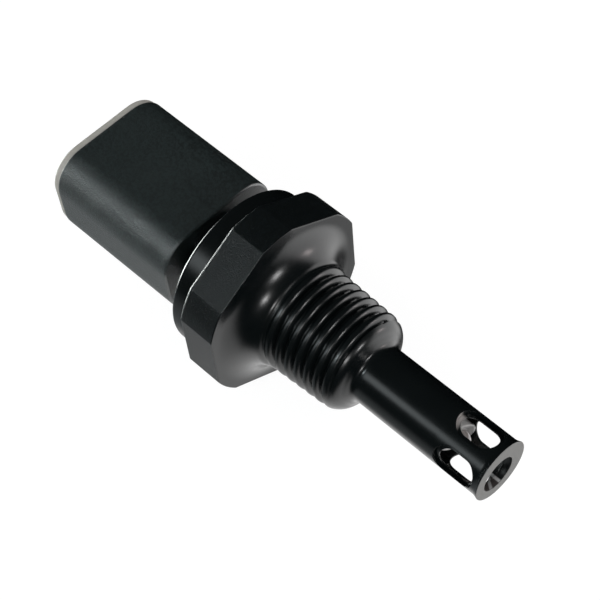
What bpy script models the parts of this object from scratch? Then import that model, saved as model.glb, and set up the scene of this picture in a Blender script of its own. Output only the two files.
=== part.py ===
"""Screw-in air temperature sensor with an open cage tip and a rounded-rectangular connector.

Every piece is drawn along the local Z axis, the axis of the thread, with z = 0 on the front face of
the hexagon and the cage tip at the top. One empty lays the whole sensor down along world +X.
"""

import math

import bmesh
import bpy
from mathutils import Matrix

MM = 0.001
FULL_TURN = 2 * math.pi

# Clearance between neighbouring pieces that touch in the real sensor
FIT_GAP = 0.3 * MM

# Cage tip and tube
TUBE_RADIUS = 3.93 * MM
TUBE_BORE_RADIUS = 3.22 * MM
TIP_LENGTH = 34.32 * MM
TIP_LIP_RADIUS = 4.13 * MM
TIP_LIP_LENGTH = 0.85 * MM
TIP_LIP_LAND = 0.26 * MM
TIP_FLARE_LENGTH = 0.51 * MM
TIP_FLARE_RISE = 0.08 * MM
TIP_HOLE_RADIUS = 2.74 * MM
TIP_EDGE_RADIUS = 0.08 * MM
END_RING_THICKNESS = 1.12 * MM
WINDOW_WIDTH = 4.34 * MM
WINDOW_LENGTH = 5.8 * MM
WINDOW_COUNT = 4
WINDOW_TURN = math.radians(75)

# Nose between the tube and the thread
NOSE_LENGTH = 14.6 * MM
NOSE_ROUNDING = 1.75 * MM
TUBE_ROOT_FILLET = 0.95 * MM
TUBE_ROOT_PLACE = 15.46 * MM
TUBE_ROOT_ARC = (180, 255)
NOSE_ARC = (72, 0)

# Thread
THREAD_RADIUS = 7.32 * MM
THREAD_TAPER = 0.047
THREAD_PITCH = 1.5 * MM
THREAD_DEPTH = 0.72 * MM
THREAD_START = 3.15 * MM
THREAD_START_TURN = math.radians(269)
THREAD_RUN_IN_TURNS = 0.9
THREAD_RUN_OUT_TURNS = 0.4
THREAD_START_SHARE = 0.25
THREAD_START_LIFT = 0.43 * MM
THREAD_STEPS = 24

# Half of the groove's section, as shares of the pitch along the axis and of the depth from the crest
GROOVE_SHAPE = ((0.08, -1.0), (0.17, -0.55), (0.30, -0.16), (0.46, 0.22))

# Hexagon and flange
HEX_ACROSS_FLATS = 24.0 * MM
HEX_CORNER_RADIUS = 12.74 * MM
HEX_THICKNESS = 5.54 * MM
HEX_REAR_CHAMFER = 0.3 * MM
HEX_TURN = math.radians(30)
HEX_SIDES = 6
FACE_FILLET = 4.6 * MM
FLANGE_RADIUS = 11.14 * MM
FLANGE_THICKNESS = 3.09 * MM
FLANGE_RIM_ROUNDING = 0.45 * MM

# Neck and spigot behind the flange
NECK_RADIUS = 5.7 * MM
NECK_LENGTH = 3.34 * MM
SPIGOT_RADIUS = 4.6 * MM
SPIGOT_LENGTH = 4.3 * MM
SPIGOT_EDGE_CHAMFER = 0.3 * MM
SEAL_GROOVE_WIDTH = 1.3 * MM
SEAL_GROOVE_DEPTH = 0.95 * MM
SEAL_SECTION_RADIUS = 0.42 * MM

# Connector shell
CONNECTOR_OFFSET = 0.54 * MM
SHELL_WIDTH = 17.9 * MM
SHELL_DEPTH = 13.44 * MM
SHELL_CORNER_RADIUS = 4.54 * MM
SHELL_LENGTH = 20.26 * MM
SHELL_WALL = 1.3 * MM
SHELL_FLOOR = 1.4 * MM
SHELL_BASE_ROUNDING = 0.3 * MM

# Connector liner, whose rim covers the shell's open end
LINER_WALL = 1.2 * MM
RIM_LENGTH = 0.8 * MM
RIM_INSET = 0.12 * MM
RIM_ROUNDING = 0.4 * MM
LINER_BASE_THICKNESS = 1.6 * MM

# Contacts and their carrier
TERMINAL_SPACING = 5.9 * MM
TERMINAL_WIDTH = 1.5 * MM
TERMINAL_THICKNESS = 0.8 * MM
TERMINAL_RECESS = 5.2 * MM
TERMINAL_TIP_TAPER = 0.8 * MM
TERMINAL_TIP_INSET = 0.24 * MM
SOCKET_DEPTH = 11.4 * MM
CARRIER_THICKNESS = 2.4 * MM
CRIMP_RADIUS = 0.95 * MM
CRIMP_LENGTH = 2.2 * MM
SHANK_LENGTH = 0.4 * MM

# Leads, sleeves and bead
LEAD_RADIUS = 0.25 * MM
LEAD_SPACING = 2.1 * MM
LEAD_BEND_LENGTH = 1.6 * MM
SLEEVE_WALL = 0.25 * MM
TIP_POTTING_LENGTH = 5.2 * MM
TIP_POTTING_HOLLOW = 0.7 * MM
TIP_POTTING_FLAT_RADIUS = 1.81 * MM
TIP_POTTING_CREEP = (2.51 * MM, 0.385 * MM)
REAR_POTTING_LENGTH = 3.0 * MM
REAR_POTTING_RECESS = 1.5 * MM
BEAD_RADIUS = 1.4 * MM
BEAD_LENGTH = 3.0 * MM
BEAD_SHOULDER = (1.36 * MM, 0.42 * MM)
BEAD_REAR_RADIUS = 1.26 * MM
BEAD_TIP_ARC = (75, 0)

# Mesh fineness
ROUND_STEPS = 48
SMALL_ROUND_STEPS = 24
CORNER_STEPS = 8
ARC_STEPS = 8
SMALL_ARC_STEPS = 4
WIRE_SIDES = 2
OVERCUT = 1.0 * MM
MERGE_DISTANCE = 0.001 * MM
CREASE_ANGLE = math.radians(35)

# Places that follow from the sizes above
WINDOW_FRONT = TIP_LENGTH - END_RING_THICKNESS
WINDOW_REAR = WINDOW_FRONT - WINDOW_LENGTH
FLANGE_FRONT = -HEX_THICKNESS
FLANGE_REAR = FLANGE_FRONT - FLANGE_THICKNESS
NECK_REAR = FLANGE_REAR - NECK_LENGTH
SPIGOT_REAR = NECK_REAR - SPIGOT_LENGTH
SHELL_FRONT = NECK_REAR - FIT_GAP
SHELL_REAR = SHELL_FRONT - SHELL_LENGTH
LINER_FRONT = SHELL_FRONT - SHELL_FLOOR - FIT_GAP
RIM_FRONT = SHELL_REAR - FIT_GAP
RIM_REAR = RIM_FRONT - RIM_LENGTH
SOCKET_FLOOR = RIM_REAR + SOCKET_DEPTH
CARRIER_FRONT = SOCKET_FLOOR + CARRIER_THICKNESS
CRIMP_REAR = CARRIER_FRONT + SHANK_LENGTH
CRIMP_FRONT = CRIMP_REAR + CRIMP_LENGTH
LEAD_BORE_RADIUS = LEAD_RADIUS + FIT_GAP
SLEEVE_RADIUS = LEAD_BORE_RADIUS + SLEEVE_WALL
POTTING_RADIUS = TUBE_BORE_RADIUS - FIT_GAP
TIP_POTTING_FRONT = WINDOW_REAR
TIP_POTTING_REAR = TIP_POTTING_FRONT - TIP_POTTING_LENGTH
BEAD_REAR = TIP_POTTING_FRONT - TIP_POTTING_HOLLOW + FIT_GAP
LEAD_TIP = BEAD_REAR - FIT_GAP
REAR_POTTING_REAR = SPIGOT_REAR + REAR_POTTING_RECESS
REAR_POTTING_FRONT = REAR_POTTING_REAR + REAR_POTTING_LENGTH

GLOSS_BLACK = ("gloss_black_plastic", (0.012, 0.0125, 0.013), 0.25, 0.0)
SATIN_BLACK = ("satin_black_plastic", (0.022, 0.024, 0.024), 0.42, 0.0)
PALE_GREY = ("pale_grey_plastic", (0.50, 0.48, 0.44), 0.45, 0.0)
DARK_CARRIER = ("carrier_plastic", (0.05, 0.05, 0.052), 0.5, 0.0)
RESIN = ("potting_resin", (0.36, 0.35, 0.33), 0.35, 0.0)
BEAD_EPOXY = ("bead_epoxy", (0.38, 0.30, 0.24), 0.25, 0.0)
TINNED = ("tinned_contact", (0.72, 0.71, 0.68), 0.28, 1.0)
SLEEVING = ("sleeve_plastic", (0.62, 0.60, 0.55), 0.5, 0.0)
SEAL_RUBBER = ("seal_rubber", (0.02, 0.02, 0.02), 0.6, 0.0)


def clear_scene():
    for obj in list(bpy.data.objects):
        bpy.data.objects.remove(obj)


def new_collection(name, helper=False):
    collection = bpy.data.collections.new(name)
    collection.hide_render = helper
    bpy.context.scene.collection.children.link(collection)
    return collection


def principled(finish):
    name, colour, roughness, metallic = finish
    material = bpy.data.materials.get(name) or bpy.data.materials.new(name)
    material.use_nodes = True
    shader = material.node_tree.nodes["Principled BSDF"]
    shader.inputs["Base Color"].default_value = (*colour, 1.0)
    shader.inputs["Roughness"].default_value = roughness
    shader.inputs["Metallic"].default_value = metallic
    return material


class Bench:
    """The collections and the turned parent that every piece is put on."""

    def __init__(self):
        self.pieces = new_collection("air_temperature_sensor")
        self.cutters = new_collection("cutters", helper=True)
        self.axis = bpy.data.objects.new("sensor_axis", None)
        self.axis.rotation_euler = (0.0, math.pi / 2, 0.0)
        self.pieces.objects.link(self.axis)

    def piece(self, name, mesh, finish, location=(0.0, 0.0, 0.0)):
        obj = bpy.data.objects.new(name, mesh)
        obj.parent = self.axis
        obj.location = location
        mesh.materials.append(principled(finish))
        self.pieces.objects.link(obj)
        return obj

    def cutter(self, name, mesh, location=(0.0, 0.0, 0.0), rotation=(0.0, 0.0, 0.0)):
        obj = bpy.data.objects.new(name, mesh)
        obj.parent = self.axis
        obj.location = location
        obj.rotation_euler = rotation
        obj.hide_render = True
        obj.display_type = "WIRE"
        self.cutters.objects.link(obj)
        return obj


def mesh_from(name, bm):
    mesh = bpy.data.meshes.new(name)
    bm.normal_update()
    bm.to_mesh(mesh)
    bm.free()
    return mesh


def profile_mesh(name, points, closed):
    """A chain of edges through (radius, z) points in the XZ plane, to be turned about Z."""
    bm = bmesh.new()
    verts = [bm.verts.new((radius, 0.0, z)) for radius, z in points]
    for first, second in zip(verts, verts[1:]):
        bm.edges.new((first, second))
    if closed:
        bm.edges.new((verts[-1], verts[0]))
    return mesh_from(name, bm)


def turn(obj, steps=ROUND_STEPS):
    """Turns the object's profile a full circle about its Z axis."""
    screw = obj.modifiers.new("Turn", "SCREW")
    screw.axis = "Z"
    screw.angle = FULL_TURN
    screw.steps = steps
    screw.render_steps = steps
    screw.use_merge_vertices = True
    screw.merge_threshold = MERGE_DISTANCE
    screw.use_normal_calculate = False
    return obj


def boolean(obj, operation, other):
    modifier = obj.modifiers.new(other.name, "BOOLEAN")
    modifier.operation = operation
    modifier.solver = "EXACT"
    modifier.object = other


def arc(centre_radius, centre_z, radius, start, end, steps):
    """Points (radius, z) along an arc, its angles in degrees from the outward radius towards +Z."""
    points = []
    for i in range(steps + 1):
        angle = math.radians(start + (end - start) * i / steps)
        points.append((centre_radius + radius * math.cos(angle), centre_z + radius * math.sin(angle)))
    return points


def rounded_rectangle(width, depth, radius, steps=CORNER_STEPS):
    """Outline points (x, y), anticlockwise, of a rectangle depth along X and width along Y."""
    points = []
    half_x = depth / 2 - radius
    half_y = width / 2 - radius
    for corner, (side_x, side_y) in enumerate(((1, 1), (-1, 1), (-1, -1), (1, -1))):
        for i in range(steps + 1):
            angle = math.pi / 2 * (corner + i / steps)
            x = side_x * half_x + radius * math.cos(angle)
            y = side_y * half_y + radius * math.sin(angle)
            points.append((x, y))
    return points


def stadium(length, width, steps=CORNER_STEPS * 2):
    """Outline points of a slot with round ends, its length along the first coordinate."""
    points = []
    straight = length / 2 - width / 2
    for end, start_angle in ((1, -math.pi / 2), (-1, math.pi / 2)):
        for i in range(steps + 1):
            angle = start_angle + math.pi * i / steps
            points.append((end * straight + width / 2 * math.cos(angle), width / 2 * math.sin(angle)))
    return points


def circle(radius, steps):
    angles = [FULL_TURN * i / steps for i in range(steps)]
    return [(radius * math.cos(angle), radius * math.sin(angle)) for angle in angles]


def loft(name, sections):
    """A closed body through outlines of equally many points, each given as (z, points), rising in z."""
    bm = bmesh.new()
    rings = [[bm.verts.new((x, y, z)) for x, y in points] for z, points in sections]
    count = len(rings[0])
    bm.faces.new(list(reversed(rings[0])))
    bm.faces.new(rings[-1])
    for lower, upper in zip(rings, rings[1:]):
        for i in range(count):
            after = (i + 1) % count
            bm.faces.new((lower[i], lower[after], upper[after], upper[i]))
    return mesh_from(name, bm)


def smooth(obj):
    """Smooth shading with creases kept where the faces meet at more than the crease angle."""
    obj.data.shade_smooth()
    obj.data.set_sharp_from_angle(angle=CREASE_ANGLE)


def crest_radius(z):
    """Radius over the thread's crests at a place along the taper."""
    return THREAD_RADIUS - THREAD_TAPER * z


def blank_profile():
    """Section of the turned blank of the probe body, down its outside and back up its bore."""
    points = [(TIP_HOLE_RADIUS, TIP_LENGTH), (TIP_LIP_RADIUS - TIP_EDGE_RADIUS, TIP_LENGTH)]
    points += [(TIP_LIP_RADIUS, TIP_LENGTH - TIP_EDGE_RADIUS), (TIP_LIP_RADIUS, TIP_LENGTH - TIP_LIP_LAND)]
    points += [(TUBE_RADIUS + TIP_FLARE_RISE, TIP_LENGTH - TIP_FLARE_LENGTH)]
    points += [(TUBE_RADIUS, TIP_LENGTH - TIP_LIP_LENGTH)]
    root_centre = TUBE_RADIUS + TUBE_ROOT_FILLET
    points += arc(root_centre, TUBE_ROOT_PLACE, TUBE_ROOT_FILLET, *TUBE_ROOT_ARC, SMALL_ARC_STEPS + 1)
    nose_edge = NOSE_LENGTH - NOSE_ROUNDING
    points += arc(crest_radius(nose_edge) - NOSE_ROUNDING, nose_edge, NOSE_ROUNDING, *NOSE_ARC, ARC_STEPS)
    fillet_centre = crest_radius(FACE_FILLET) + FACE_FILLET
    points += arc(fillet_centre, FACE_FILLET, FACE_FILLET, 180, 270, ARC_STEPS + 2)
    points += [(HEX_CORNER_RADIUS, 0.0), (HEX_CORNER_RADIUS, FLANGE_FRONT), (FLANGE_RADIUS, FLANGE_FRONT)]
    rim_centre = FLANGE_RADIUS - FLANGE_RIM_ROUNDING
    points += arc(rim_centre, FLANGE_REAR + FLANGE_RIM_ROUNDING, FLANGE_RIM_ROUNDING, 0, -90, SMALL_ARC_STEPS)
    points += [(NECK_RADIUS, FLANGE_REAR), (NECK_RADIUS, NECK_REAR), (SPIGOT_RADIUS, NECK_REAR)]
    groove_floor = SPIGOT_RADIUS - SEAL_GROOVE_DEPTH
    groove_front = seal_centre_z() + SEAL_GROOVE_WIDTH / 2
    groove_rear = seal_centre_z() - SEAL_GROOVE_WIDTH / 2
    points += [(SPIGOT_RADIUS, groove_front), (groove_floor, groove_front)]
    points += [(groove_floor, groove_rear), (SPIGOT_RADIUS, groove_rear)]
    points += [(SPIGOT_RADIUS, SPIGOT_REAR + SPIGOT_EDGE_CHAMFER)]
    points += [(SPIGOT_RADIUS - SPIGOT_EDGE_CHAMFER, SPIGOT_REAR), (TUBE_BORE_RADIUS, SPIGOT_REAR)]
    points += [(TUBE_BORE_RADIUS, WINDOW_FRONT), (TIP_HOLE_RADIUS, WINDOW_FRONT)]
    return points


def seal_centre_z():
    """Middle of the seal, half way through the liner's floor."""
    return LINER_FRONT - LINER_BASE_THICKNESS / 2


def hexagon(across_flats):
    corner = across_flats / math.sqrt(3)
    turns = [HEX_TURN + FULL_TURN / HEX_SIDES * (i + 1 / 2) for i in range(HEX_SIDES)]
    return [(corner * math.cos(angle), corner * math.sin(angle)) for angle in turns]


def hexagon_form(bench):
    """The outline that mills the six flats on the blank, with a small chamfer behind them."""
    narrow = hexagon(HEX_ACROSS_FLATS - 2 * HEX_REAR_CHAMFER)
    full = hexagon(HEX_ACROSS_FLATS)
    sections = [
        (SPIGOT_REAR - OVERCUT, narrow),
        (FLANGE_FRONT, narrow),
        (FLANGE_FRONT + HEX_REAR_CHAMFER, full),
        (TIP_LENGTH + OVERCUT, full),
    ]
    return bench.cutter("hexagon_form", loft("hexagon_form", sections))


def groove_section(depth):
    """Half of the groove's section, as (along the axis, out from the crest), opened well past the crest."""
    return [(THREAD_PITCH * along, depth * out) for along, out in GROOVE_SHAPE]


def thread_groove(bench):
    """The helical groove of the thread, which deepens over its first turn and runs out over the nose."""
    turns = (NOSE_LENGTH - THREAD_START) / THREAD_PITCH + THREAD_RUN_OUT_TURNS
    count = round(turns * THREAD_STEPS)
    bm = bmesh.new()
    rings = []
    for i in range(count + 1):
        turned = i / THREAD_STEPS
        angle = THREAD_START_TURN + FULL_TURN * turned
        z = THREAD_START + THREAD_PITCH * turned
        run_in = min(1.0, turned / THREAD_RUN_IN_TURNS)
        depth = THREAD_DEPTH * (THREAD_START_SHARE + (1.0 - THREAD_START_SHARE) * run_in)
        lift = THREAD_START_LIFT * (1.0 - run_in)
        half = groove_section(depth)
        section = half + [(-along, out) for along, out in reversed(half)]
        base = crest_radius(z) + lift
        rings.append([place_on_helix(bm, angle, z + along, base + out) for along, out in section])
    sides = len(rings[0])
    for ring, after in zip(rings, rings[1:]):
        for i in range(sides):
            following = (i + 1) % sides
            bm.faces.new((ring[i], ring[following], after[following], after[i]))
    bm.faces.new(list(reversed(rings[0])))
    bm.faces.new(rings[-1])
    bmesh.ops.recalc_face_normals(bm, faces=bm.faces)
    return bench.cutter("thread_groove", mesh_from("thread_groove", bm))


def place_on_helix(bm, angle, z, radius):
    return bm.verts.new((radius * math.cos(angle), radius * math.sin(angle), z))


def window_cutters(bench):
    """Round-ended slots through the whole tube, each of which opens two windows opposite each other."""
    reach = TIP_LIP_RADIUS + OVERCUT
    outline = stadium(WINDOW_LENGTH, WINDOW_WIDTH)
    cutters = []
    for i in range(WINDOW_COUNT // 2):
        mesh = loft(f"window_cut_{i}", [(-reach, outline), (reach, outline)])
        mesh.transform(Matrix.Rotation(-math.pi / 2, 4, "Y"))
        turn_angle = WINDOW_TURN + FULL_TURN * i / WINDOW_COUNT
        location = (0.0, 0.0, (WINDOW_FRONT + WINDOW_REAR) / 2)
        cutters.append(bench.cutter(f"window_cut_{i}", mesh, location, (0.0, 0.0, turn_angle)))
    return cutters


def probe_body(bench):
    """Cage tip, tube, thread, hexagon, flange and spigot, all one moulding."""
    body = bench.piece("probe_body", profile_mesh("probe_body", blank_profile(), True), GLOSS_BLACK)
    turn(body)
    boolean(body, "INTERSECT", hexagon_form(bench))
    boolean(body, "DIFFERENCE", thread_groove(bench))
    for cutter in window_cutters(bench):
        boolean(body, "DIFFERENCE", cutter)
    return body


def connector_centre():
    return (0.0, CONNECTOR_OFFSET, 0.0)


def shell_outline(inset):
    return rounded_rectangle(SHELL_WIDTH - 2 * inset, SHELL_DEPTH - 2 * inset, SHELL_CORNER_RADIUS - inset)


def rounded_sections(outline_at, z, rounding, direction):
    """Sections of an edge rounding that starts at z and moves in the given direction."""
    sections = []
    for i in range(SMALL_ARC_STEPS + 1):
        angle = math.pi / 2 * i / SMALL_ARC_STEPS
        inset = rounding * (1 - math.sin(angle))
        sections.append((z + direction * rounding * (1 - math.cos(angle)), outline_at(inset)))
    return sections


def connector_shell(bench):
    """Rounded-rectangular cup with a hole for the spigot in its floor."""
    sections = [(SHELL_REAR, shell_outline(0.0))]
    sections += reversed(rounded_sections(shell_outline, SHELL_FRONT, SHELL_BASE_ROUNDING, -1))
    shell = bench.piece("connector_shell", loft("connector_shell", sections), SATIN_BLACK, connector_centre())
    inner = shell_outline(SHELL_WALL)
    floor = SHELL_FRONT - SHELL_FLOOR
    cavity = loft("shell_cavity", [(SHELL_REAR - OVERCUT, inner), (floor, inner)])
    boolean(shell, "DIFFERENCE", bench.cutter("shell_cavity", cavity, connector_centre()))
    hole = circle(SPIGOT_RADIUS + FIT_GAP, ROUND_STEPS)
    spigot_hole = loft("shell_spigot_hole", [(floor - OVERCUT, hole), (SHELL_FRONT + OVERCUT, hole)])
    boolean(shell, "DIFFERENCE", bench.cutter("shell_spigot_hole", spigot_hole))
    return shell


def connector_liner(bench):
    """Inner cup with the visible rim, seated on the shell's floor and end."""
    seat = SHELL_WALL + FIT_GAP
    rim = rounded_sections(lambda inset: shell_outline(RIM_INSET + inset), RIM_REAR, RIM_ROUNDING, 1)
    sections = rim + [(RIM_FRONT, shell_outline(RIM_INSET)), (RIM_FRONT, shell_outline(seat))]
    sections.append((LINER_FRONT, shell_outline(seat)))
    liner = bench.piece("connector_liner", loft("connector_liner", sections), PALE_GREY, connector_centre())
    inner = shell_outline(seat + LINER_WALL)
    base = LINER_FRONT - LINER_BASE_THICKNESS
    cavity = loft("liner_cavity", [(RIM_REAR - OVERCUT, inner), (base, inner)])
    boolean(liner, "DIFFERENCE", bench.cutter("liner_cavity", cavity, connector_centre()))
    hole = circle(SPIGOT_RADIUS + FIT_GAP, ROUND_STEPS)
    spigot_hole = loft("liner_spigot_hole", [(base - OVERCUT, hole), (LINER_FRONT + OVERCUT, hole)])
    boolean(liner, "DIFFERENCE", bench.cutter("liner_spigot_hole", spigot_hole))
    return liner


def terminal_places():
    """The two contacts: name, place across the connector and place of its lead in the tube."""
    return [
        ("left", CONNECTOR_OFFSET - TERMINAL_SPACING / 2, -LEAD_SPACING / 2),
        ("right", CONNECTOR_OFFSET + TERMINAL_SPACING / 2, LEAD_SPACING / 2),
    ]


def blade_outline(inset=0.0, grown=0.0):
    half_x = TERMINAL_THICKNESS / 2 - inset + grown
    half_y = TERMINAL_WIDTH / 2 - inset + grown
    return [(half_x, half_y), (-half_x, half_y), (-half_x, -half_y), (half_x, -half_y)]


def terminal_carrier(bench):
    """Insulating block across the liner, with a slot for each contact."""
    inset = SHELL_WALL + FIT_GAP + LINER_WALL + FIT_GAP
    outline = shell_outline(inset)
    mesh = loft("terminal_carrier", [(SOCKET_FLOOR, outline), (CARRIER_FRONT, outline)])
    carrier = bench.piece("terminal_carrier", mesh, DARK_CARRIER, connector_centre())
    slot = blade_outline(grown=FIT_GAP)
    for name, across, _ in terminal_places():
        cut = loft(f"slot_{name}", [(SOCKET_FLOOR - OVERCUT, slot), (CARRIER_FRONT + OVERCUT, slot)])
        boolean(carrier, "DIFFERENCE", bench.cutter(f"slot_{name}", cut, (0.0, across, 0.0)))
    return carrier


def terminals(bench):
    """Contact pins with tapered tips, each with a crimp barrel round the end of its lead."""
    tip = RIM_REAR + TERMINAL_RECESS
    for name, across, _ in terminal_places():
        sections = [
            (tip, blade_outline(TERMINAL_TIP_INSET)),
            (tip + TERMINAL_TIP_TAPER, blade_outline()),
            (CRIMP_REAR + CRIMP_RADIUS / 2, blade_outline()),
        ]
        place = (0.0, across, 0.0)
        terminal = bench.piece(f"terminal_{name}", loft(f"terminal_{name}", sections), TINNED, place)
        barrel = circle(CRIMP_RADIUS, SMALL_ROUND_STEPS)
        barrel_form = loft(f"barrel_{name}", [(CRIMP_REAR, barrel), (CRIMP_FRONT, barrel)])
        boolean(terminal, "UNION", bench.cutter(f"barrel_{name}", barrel_form, place))
        bore = circle(LEAD_BORE_RADIUS, SMALL_ROUND_STEPS)
        bore_sections = [(CRIMP_REAR + CRIMP_RADIUS, bore), (CRIMP_FRONT + OVERCUT, bore)]
        bore_form = loft(f"barrel_bore_{name}", bore_sections)
        boolean(terminal, "DIFFERENCE", bench.cutter(f"barrel_bore_{name}", bore_form, place))


def lead_route(across, along_tube):
    """Points of one lead, from the bead down the tube and out to its crimp barrel."""
    crimp_end = CRIMP_REAR + CRIMP_RADIUS + FIT_GAP
    bend_end = CRIMP_FRONT + FIT_GAP
    bend_start = bend_end + LEAD_BEND_LENGTH
    points = [(0.0, along_tube, LEAD_TIP), (0.0, along_tube, bend_start)]
    for i in range(1, ARC_STEPS):
        share = i / ARC_STEPS
        eased = (1 - math.cos(math.pi * share)) / 2
        y = along_tube + (across - along_tube) * eased
        points.append((0.0, y, bend_start + (bend_end - bend_start) * share))
    return points + [(0.0, across, bend_end), (0.0, across, crimp_end)]


def wire(bench, name, points, radius, finish):
    """A round wire along the points, as a curve with filled ends."""
    curve = bpy.data.curves.new(name, "CURVE")
    curve.dimensions = "3D"
    curve.bevel_depth = radius
    curve.bevel_resolution = WIRE_SIDES
    curve.use_fill_caps = True
    spline = curve.splines.new("POLY")
    spline.points.add(len(points) - 1)
    for point, place in zip(spline.points, points):
        point.co = (*place, 1.0)
    return bench.piece(name, curve, finish)


def leads(bench):
    for name, across, along_tube in terminal_places():
        wire(bench, f"lead_{name}", lead_route(across, along_tube), LEAD_RADIUS, TINNED)


def ring_profile(inner, outer, low, high):
    return [(inner, high), (outer, high), (outer, low), (inner, low)]


def sleeves(bench):
    """Insulating sleeves over the leads, between the two resin plugs."""
    low = REAR_POTTING_FRONT + FIT_GAP
    high = TIP_POTTING_REAR - FIT_GAP
    for name, _, along_tube in terminal_places():
        mesh = profile_mesh(f"sleeve_{name}", ring_profile(LEAD_BORE_RADIUS, SLEEVE_RADIUS, low, high), True)
        turn(bench.piece(f"sleeve_{name}", mesh, SLEEVING, (0.0, along_tube, 0.0)), SMALL_ROUND_STEPS)


def drill_leads(bench, obj, low, high):
    """Two holes for the leads through a resin plug."""
    bore = circle(LEAD_BORE_RADIUS, SMALL_ROUND_STEPS)
    for name, _, along_tube in terminal_places():
        cut_name = f"{obj.name}_{name}"
        mesh = loft(cut_name, [(low - OVERCUT, bore), (high + OVERCUT, bore)])
        boolean(obj, "DIFFERENCE", bench.cutter(cut_name, mesh, (0.0, along_tube, 0.0)))


def tip_potting(bench):
    """Resin at the bottom of the cage, hollow where it crept up the wall of the bore."""
    creep_radius, creep_drop = TIP_POTTING_CREEP
    bottom = TIP_POTTING_FRONT - TIP_POTTING_HOLLOW
    points = [(0.0, bottom), (TIP_POTTING_FLAT_RADIUS, bottom)]
    points += [(creep_radius, TIP_POTTING_FRONT - creep_drop), (POTTING_RADIUS, TIP_POTTING_FRONT)]
    points += [(POTTING_RADIUS, TIP_POTTING_REAR), (0.0, TIP_POTTING_REAR)]
    potting = turn(bench.piece("tip_potting", profile_mesh("tip_potting", points, False), RESIN))
    drill_leads(bench, potting, TIP_POTTING_REAR, TIP_POTTING_FRONT)
    return potting


def rear_potting(bench):
    """Resin that seals the leads at the rear of the bore."""
    points = [(0.0, REAR_POTTING_FRONT), (POTTING_RADIUS, REAR_POTTING_FRONT)]
    points += [(POTTING_RADIUS, REAR_POTTING_REAR), (0.0, REAR_POTTING_REAR)]
    potting = turn(bench.piece("rear_potting", profile_mesh("rear_potting", points, False), RESIN))
    drill_leads(bench, potting, REAR_POTTING_REAR, REAR_POTTING_FRONT)
    return potting


def thermistor_bead(bench):
    """Drop-shaped bead on the ends of the leads."""
    tip = BEAD_REAR + BEAD_LENGTH
    shoulder_radius, shoulder_rise = BEAD_SHOULDER
    points = [(0.0, tip)] + arc(0.0, tip - BEAD_RADIUS, BEAD_RADIUS, *BEAD_TIP_ARC, ARC_STEPS)
    points += [(shoulder_radius, BEAD_REAR + shoulder_rise), (BEAD_REAR_RADIUS, BEAD_REAR), (0.0, BEAD_REAR)]
    bead = bench.piece("thermistor_bead", profile_mesh("thermistor_bead", points, False), BEAD_EPOXY)
    return turn(bead, SMALL_ROUND_STEPS)


def neck_seal_ring(bench):
    """Round-section ring in the groove of the spigot."""
    centre = SPIGOT_RADIUS - SEAL_GROOVE_DEPTH + FIT_GAP + SEAL_SECTION_RADIUS
    points = arc(centre, seal_centre_z(), SEAL_SECTION_RADIUS, 90, -270, ARC_STEPS)[:-1]
    ring = bench.piece("neck_seal_ring", profile_mesh("neck_seal_ring", points, True), SEAL_RUBBER)
    return turn(ring, SMALL_ROUND_STEPS)


def finish_shading(bench):
    bpy.context.view_layer.update()
    for obj in bench.pieces.objects:
        if obj.type == "MESH":
            smooth(obj)


def main():
    clear_scene()
    bench = Bench()
    probe_body(bench)
    connector_shell(bench)
    connector_liner(bench)
    terminal_carrier(bench)
    terminals(bench)
    leads(bench)
    sleeves(bench)
    tip_potting(bench)
    rear_potting(bench)
    thermistor_bead(bench)
    neck_seal_ring(bench)
    finish_shading(bench)


if __name__ == "__main__":
    main()
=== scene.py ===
"""Dressed model and studio for a screw-in air temperature sensor with an open cage tip.

Lengths are in metres. The thread's axis is the X axis and the hexagon's front face is at x = 0. A
direction round that axis is an angle from +Z towards -Y.
"""

import logging
import math
from collections.abc import Mapping, Sequence
from dataclasses import dataclass
from enum import Enum

import bmesh
import bpy
import numpy as np
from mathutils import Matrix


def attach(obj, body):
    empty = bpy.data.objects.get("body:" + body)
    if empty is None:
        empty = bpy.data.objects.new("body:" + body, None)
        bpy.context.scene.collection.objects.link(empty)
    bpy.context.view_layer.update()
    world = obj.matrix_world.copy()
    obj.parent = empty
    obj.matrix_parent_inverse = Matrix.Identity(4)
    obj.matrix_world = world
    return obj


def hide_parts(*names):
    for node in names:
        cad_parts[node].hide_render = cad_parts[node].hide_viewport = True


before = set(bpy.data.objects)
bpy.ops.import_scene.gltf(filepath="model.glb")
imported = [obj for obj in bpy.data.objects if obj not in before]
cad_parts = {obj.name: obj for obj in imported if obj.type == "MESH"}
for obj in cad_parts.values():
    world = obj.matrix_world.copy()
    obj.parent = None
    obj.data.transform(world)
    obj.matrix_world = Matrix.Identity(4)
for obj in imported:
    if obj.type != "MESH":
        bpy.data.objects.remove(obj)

MM = 0.001
BODY = "root"
LOG = logging.getLogger("sensor")
Array = np.ndarray
Colour = tuple[float, float, float]
Point = tuple[float, float]
Place = tuple[float | Array, float | Array]
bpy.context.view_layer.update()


class Ray(Enum):
    """Outputs of the Light Path node that a backdrop answers to."""

    CAMERA = "Is Camera Ray"
    GLOSSY = "Is Glossy Ray"
    TRANSMISSION = "Is Transmission Ray"


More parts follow.
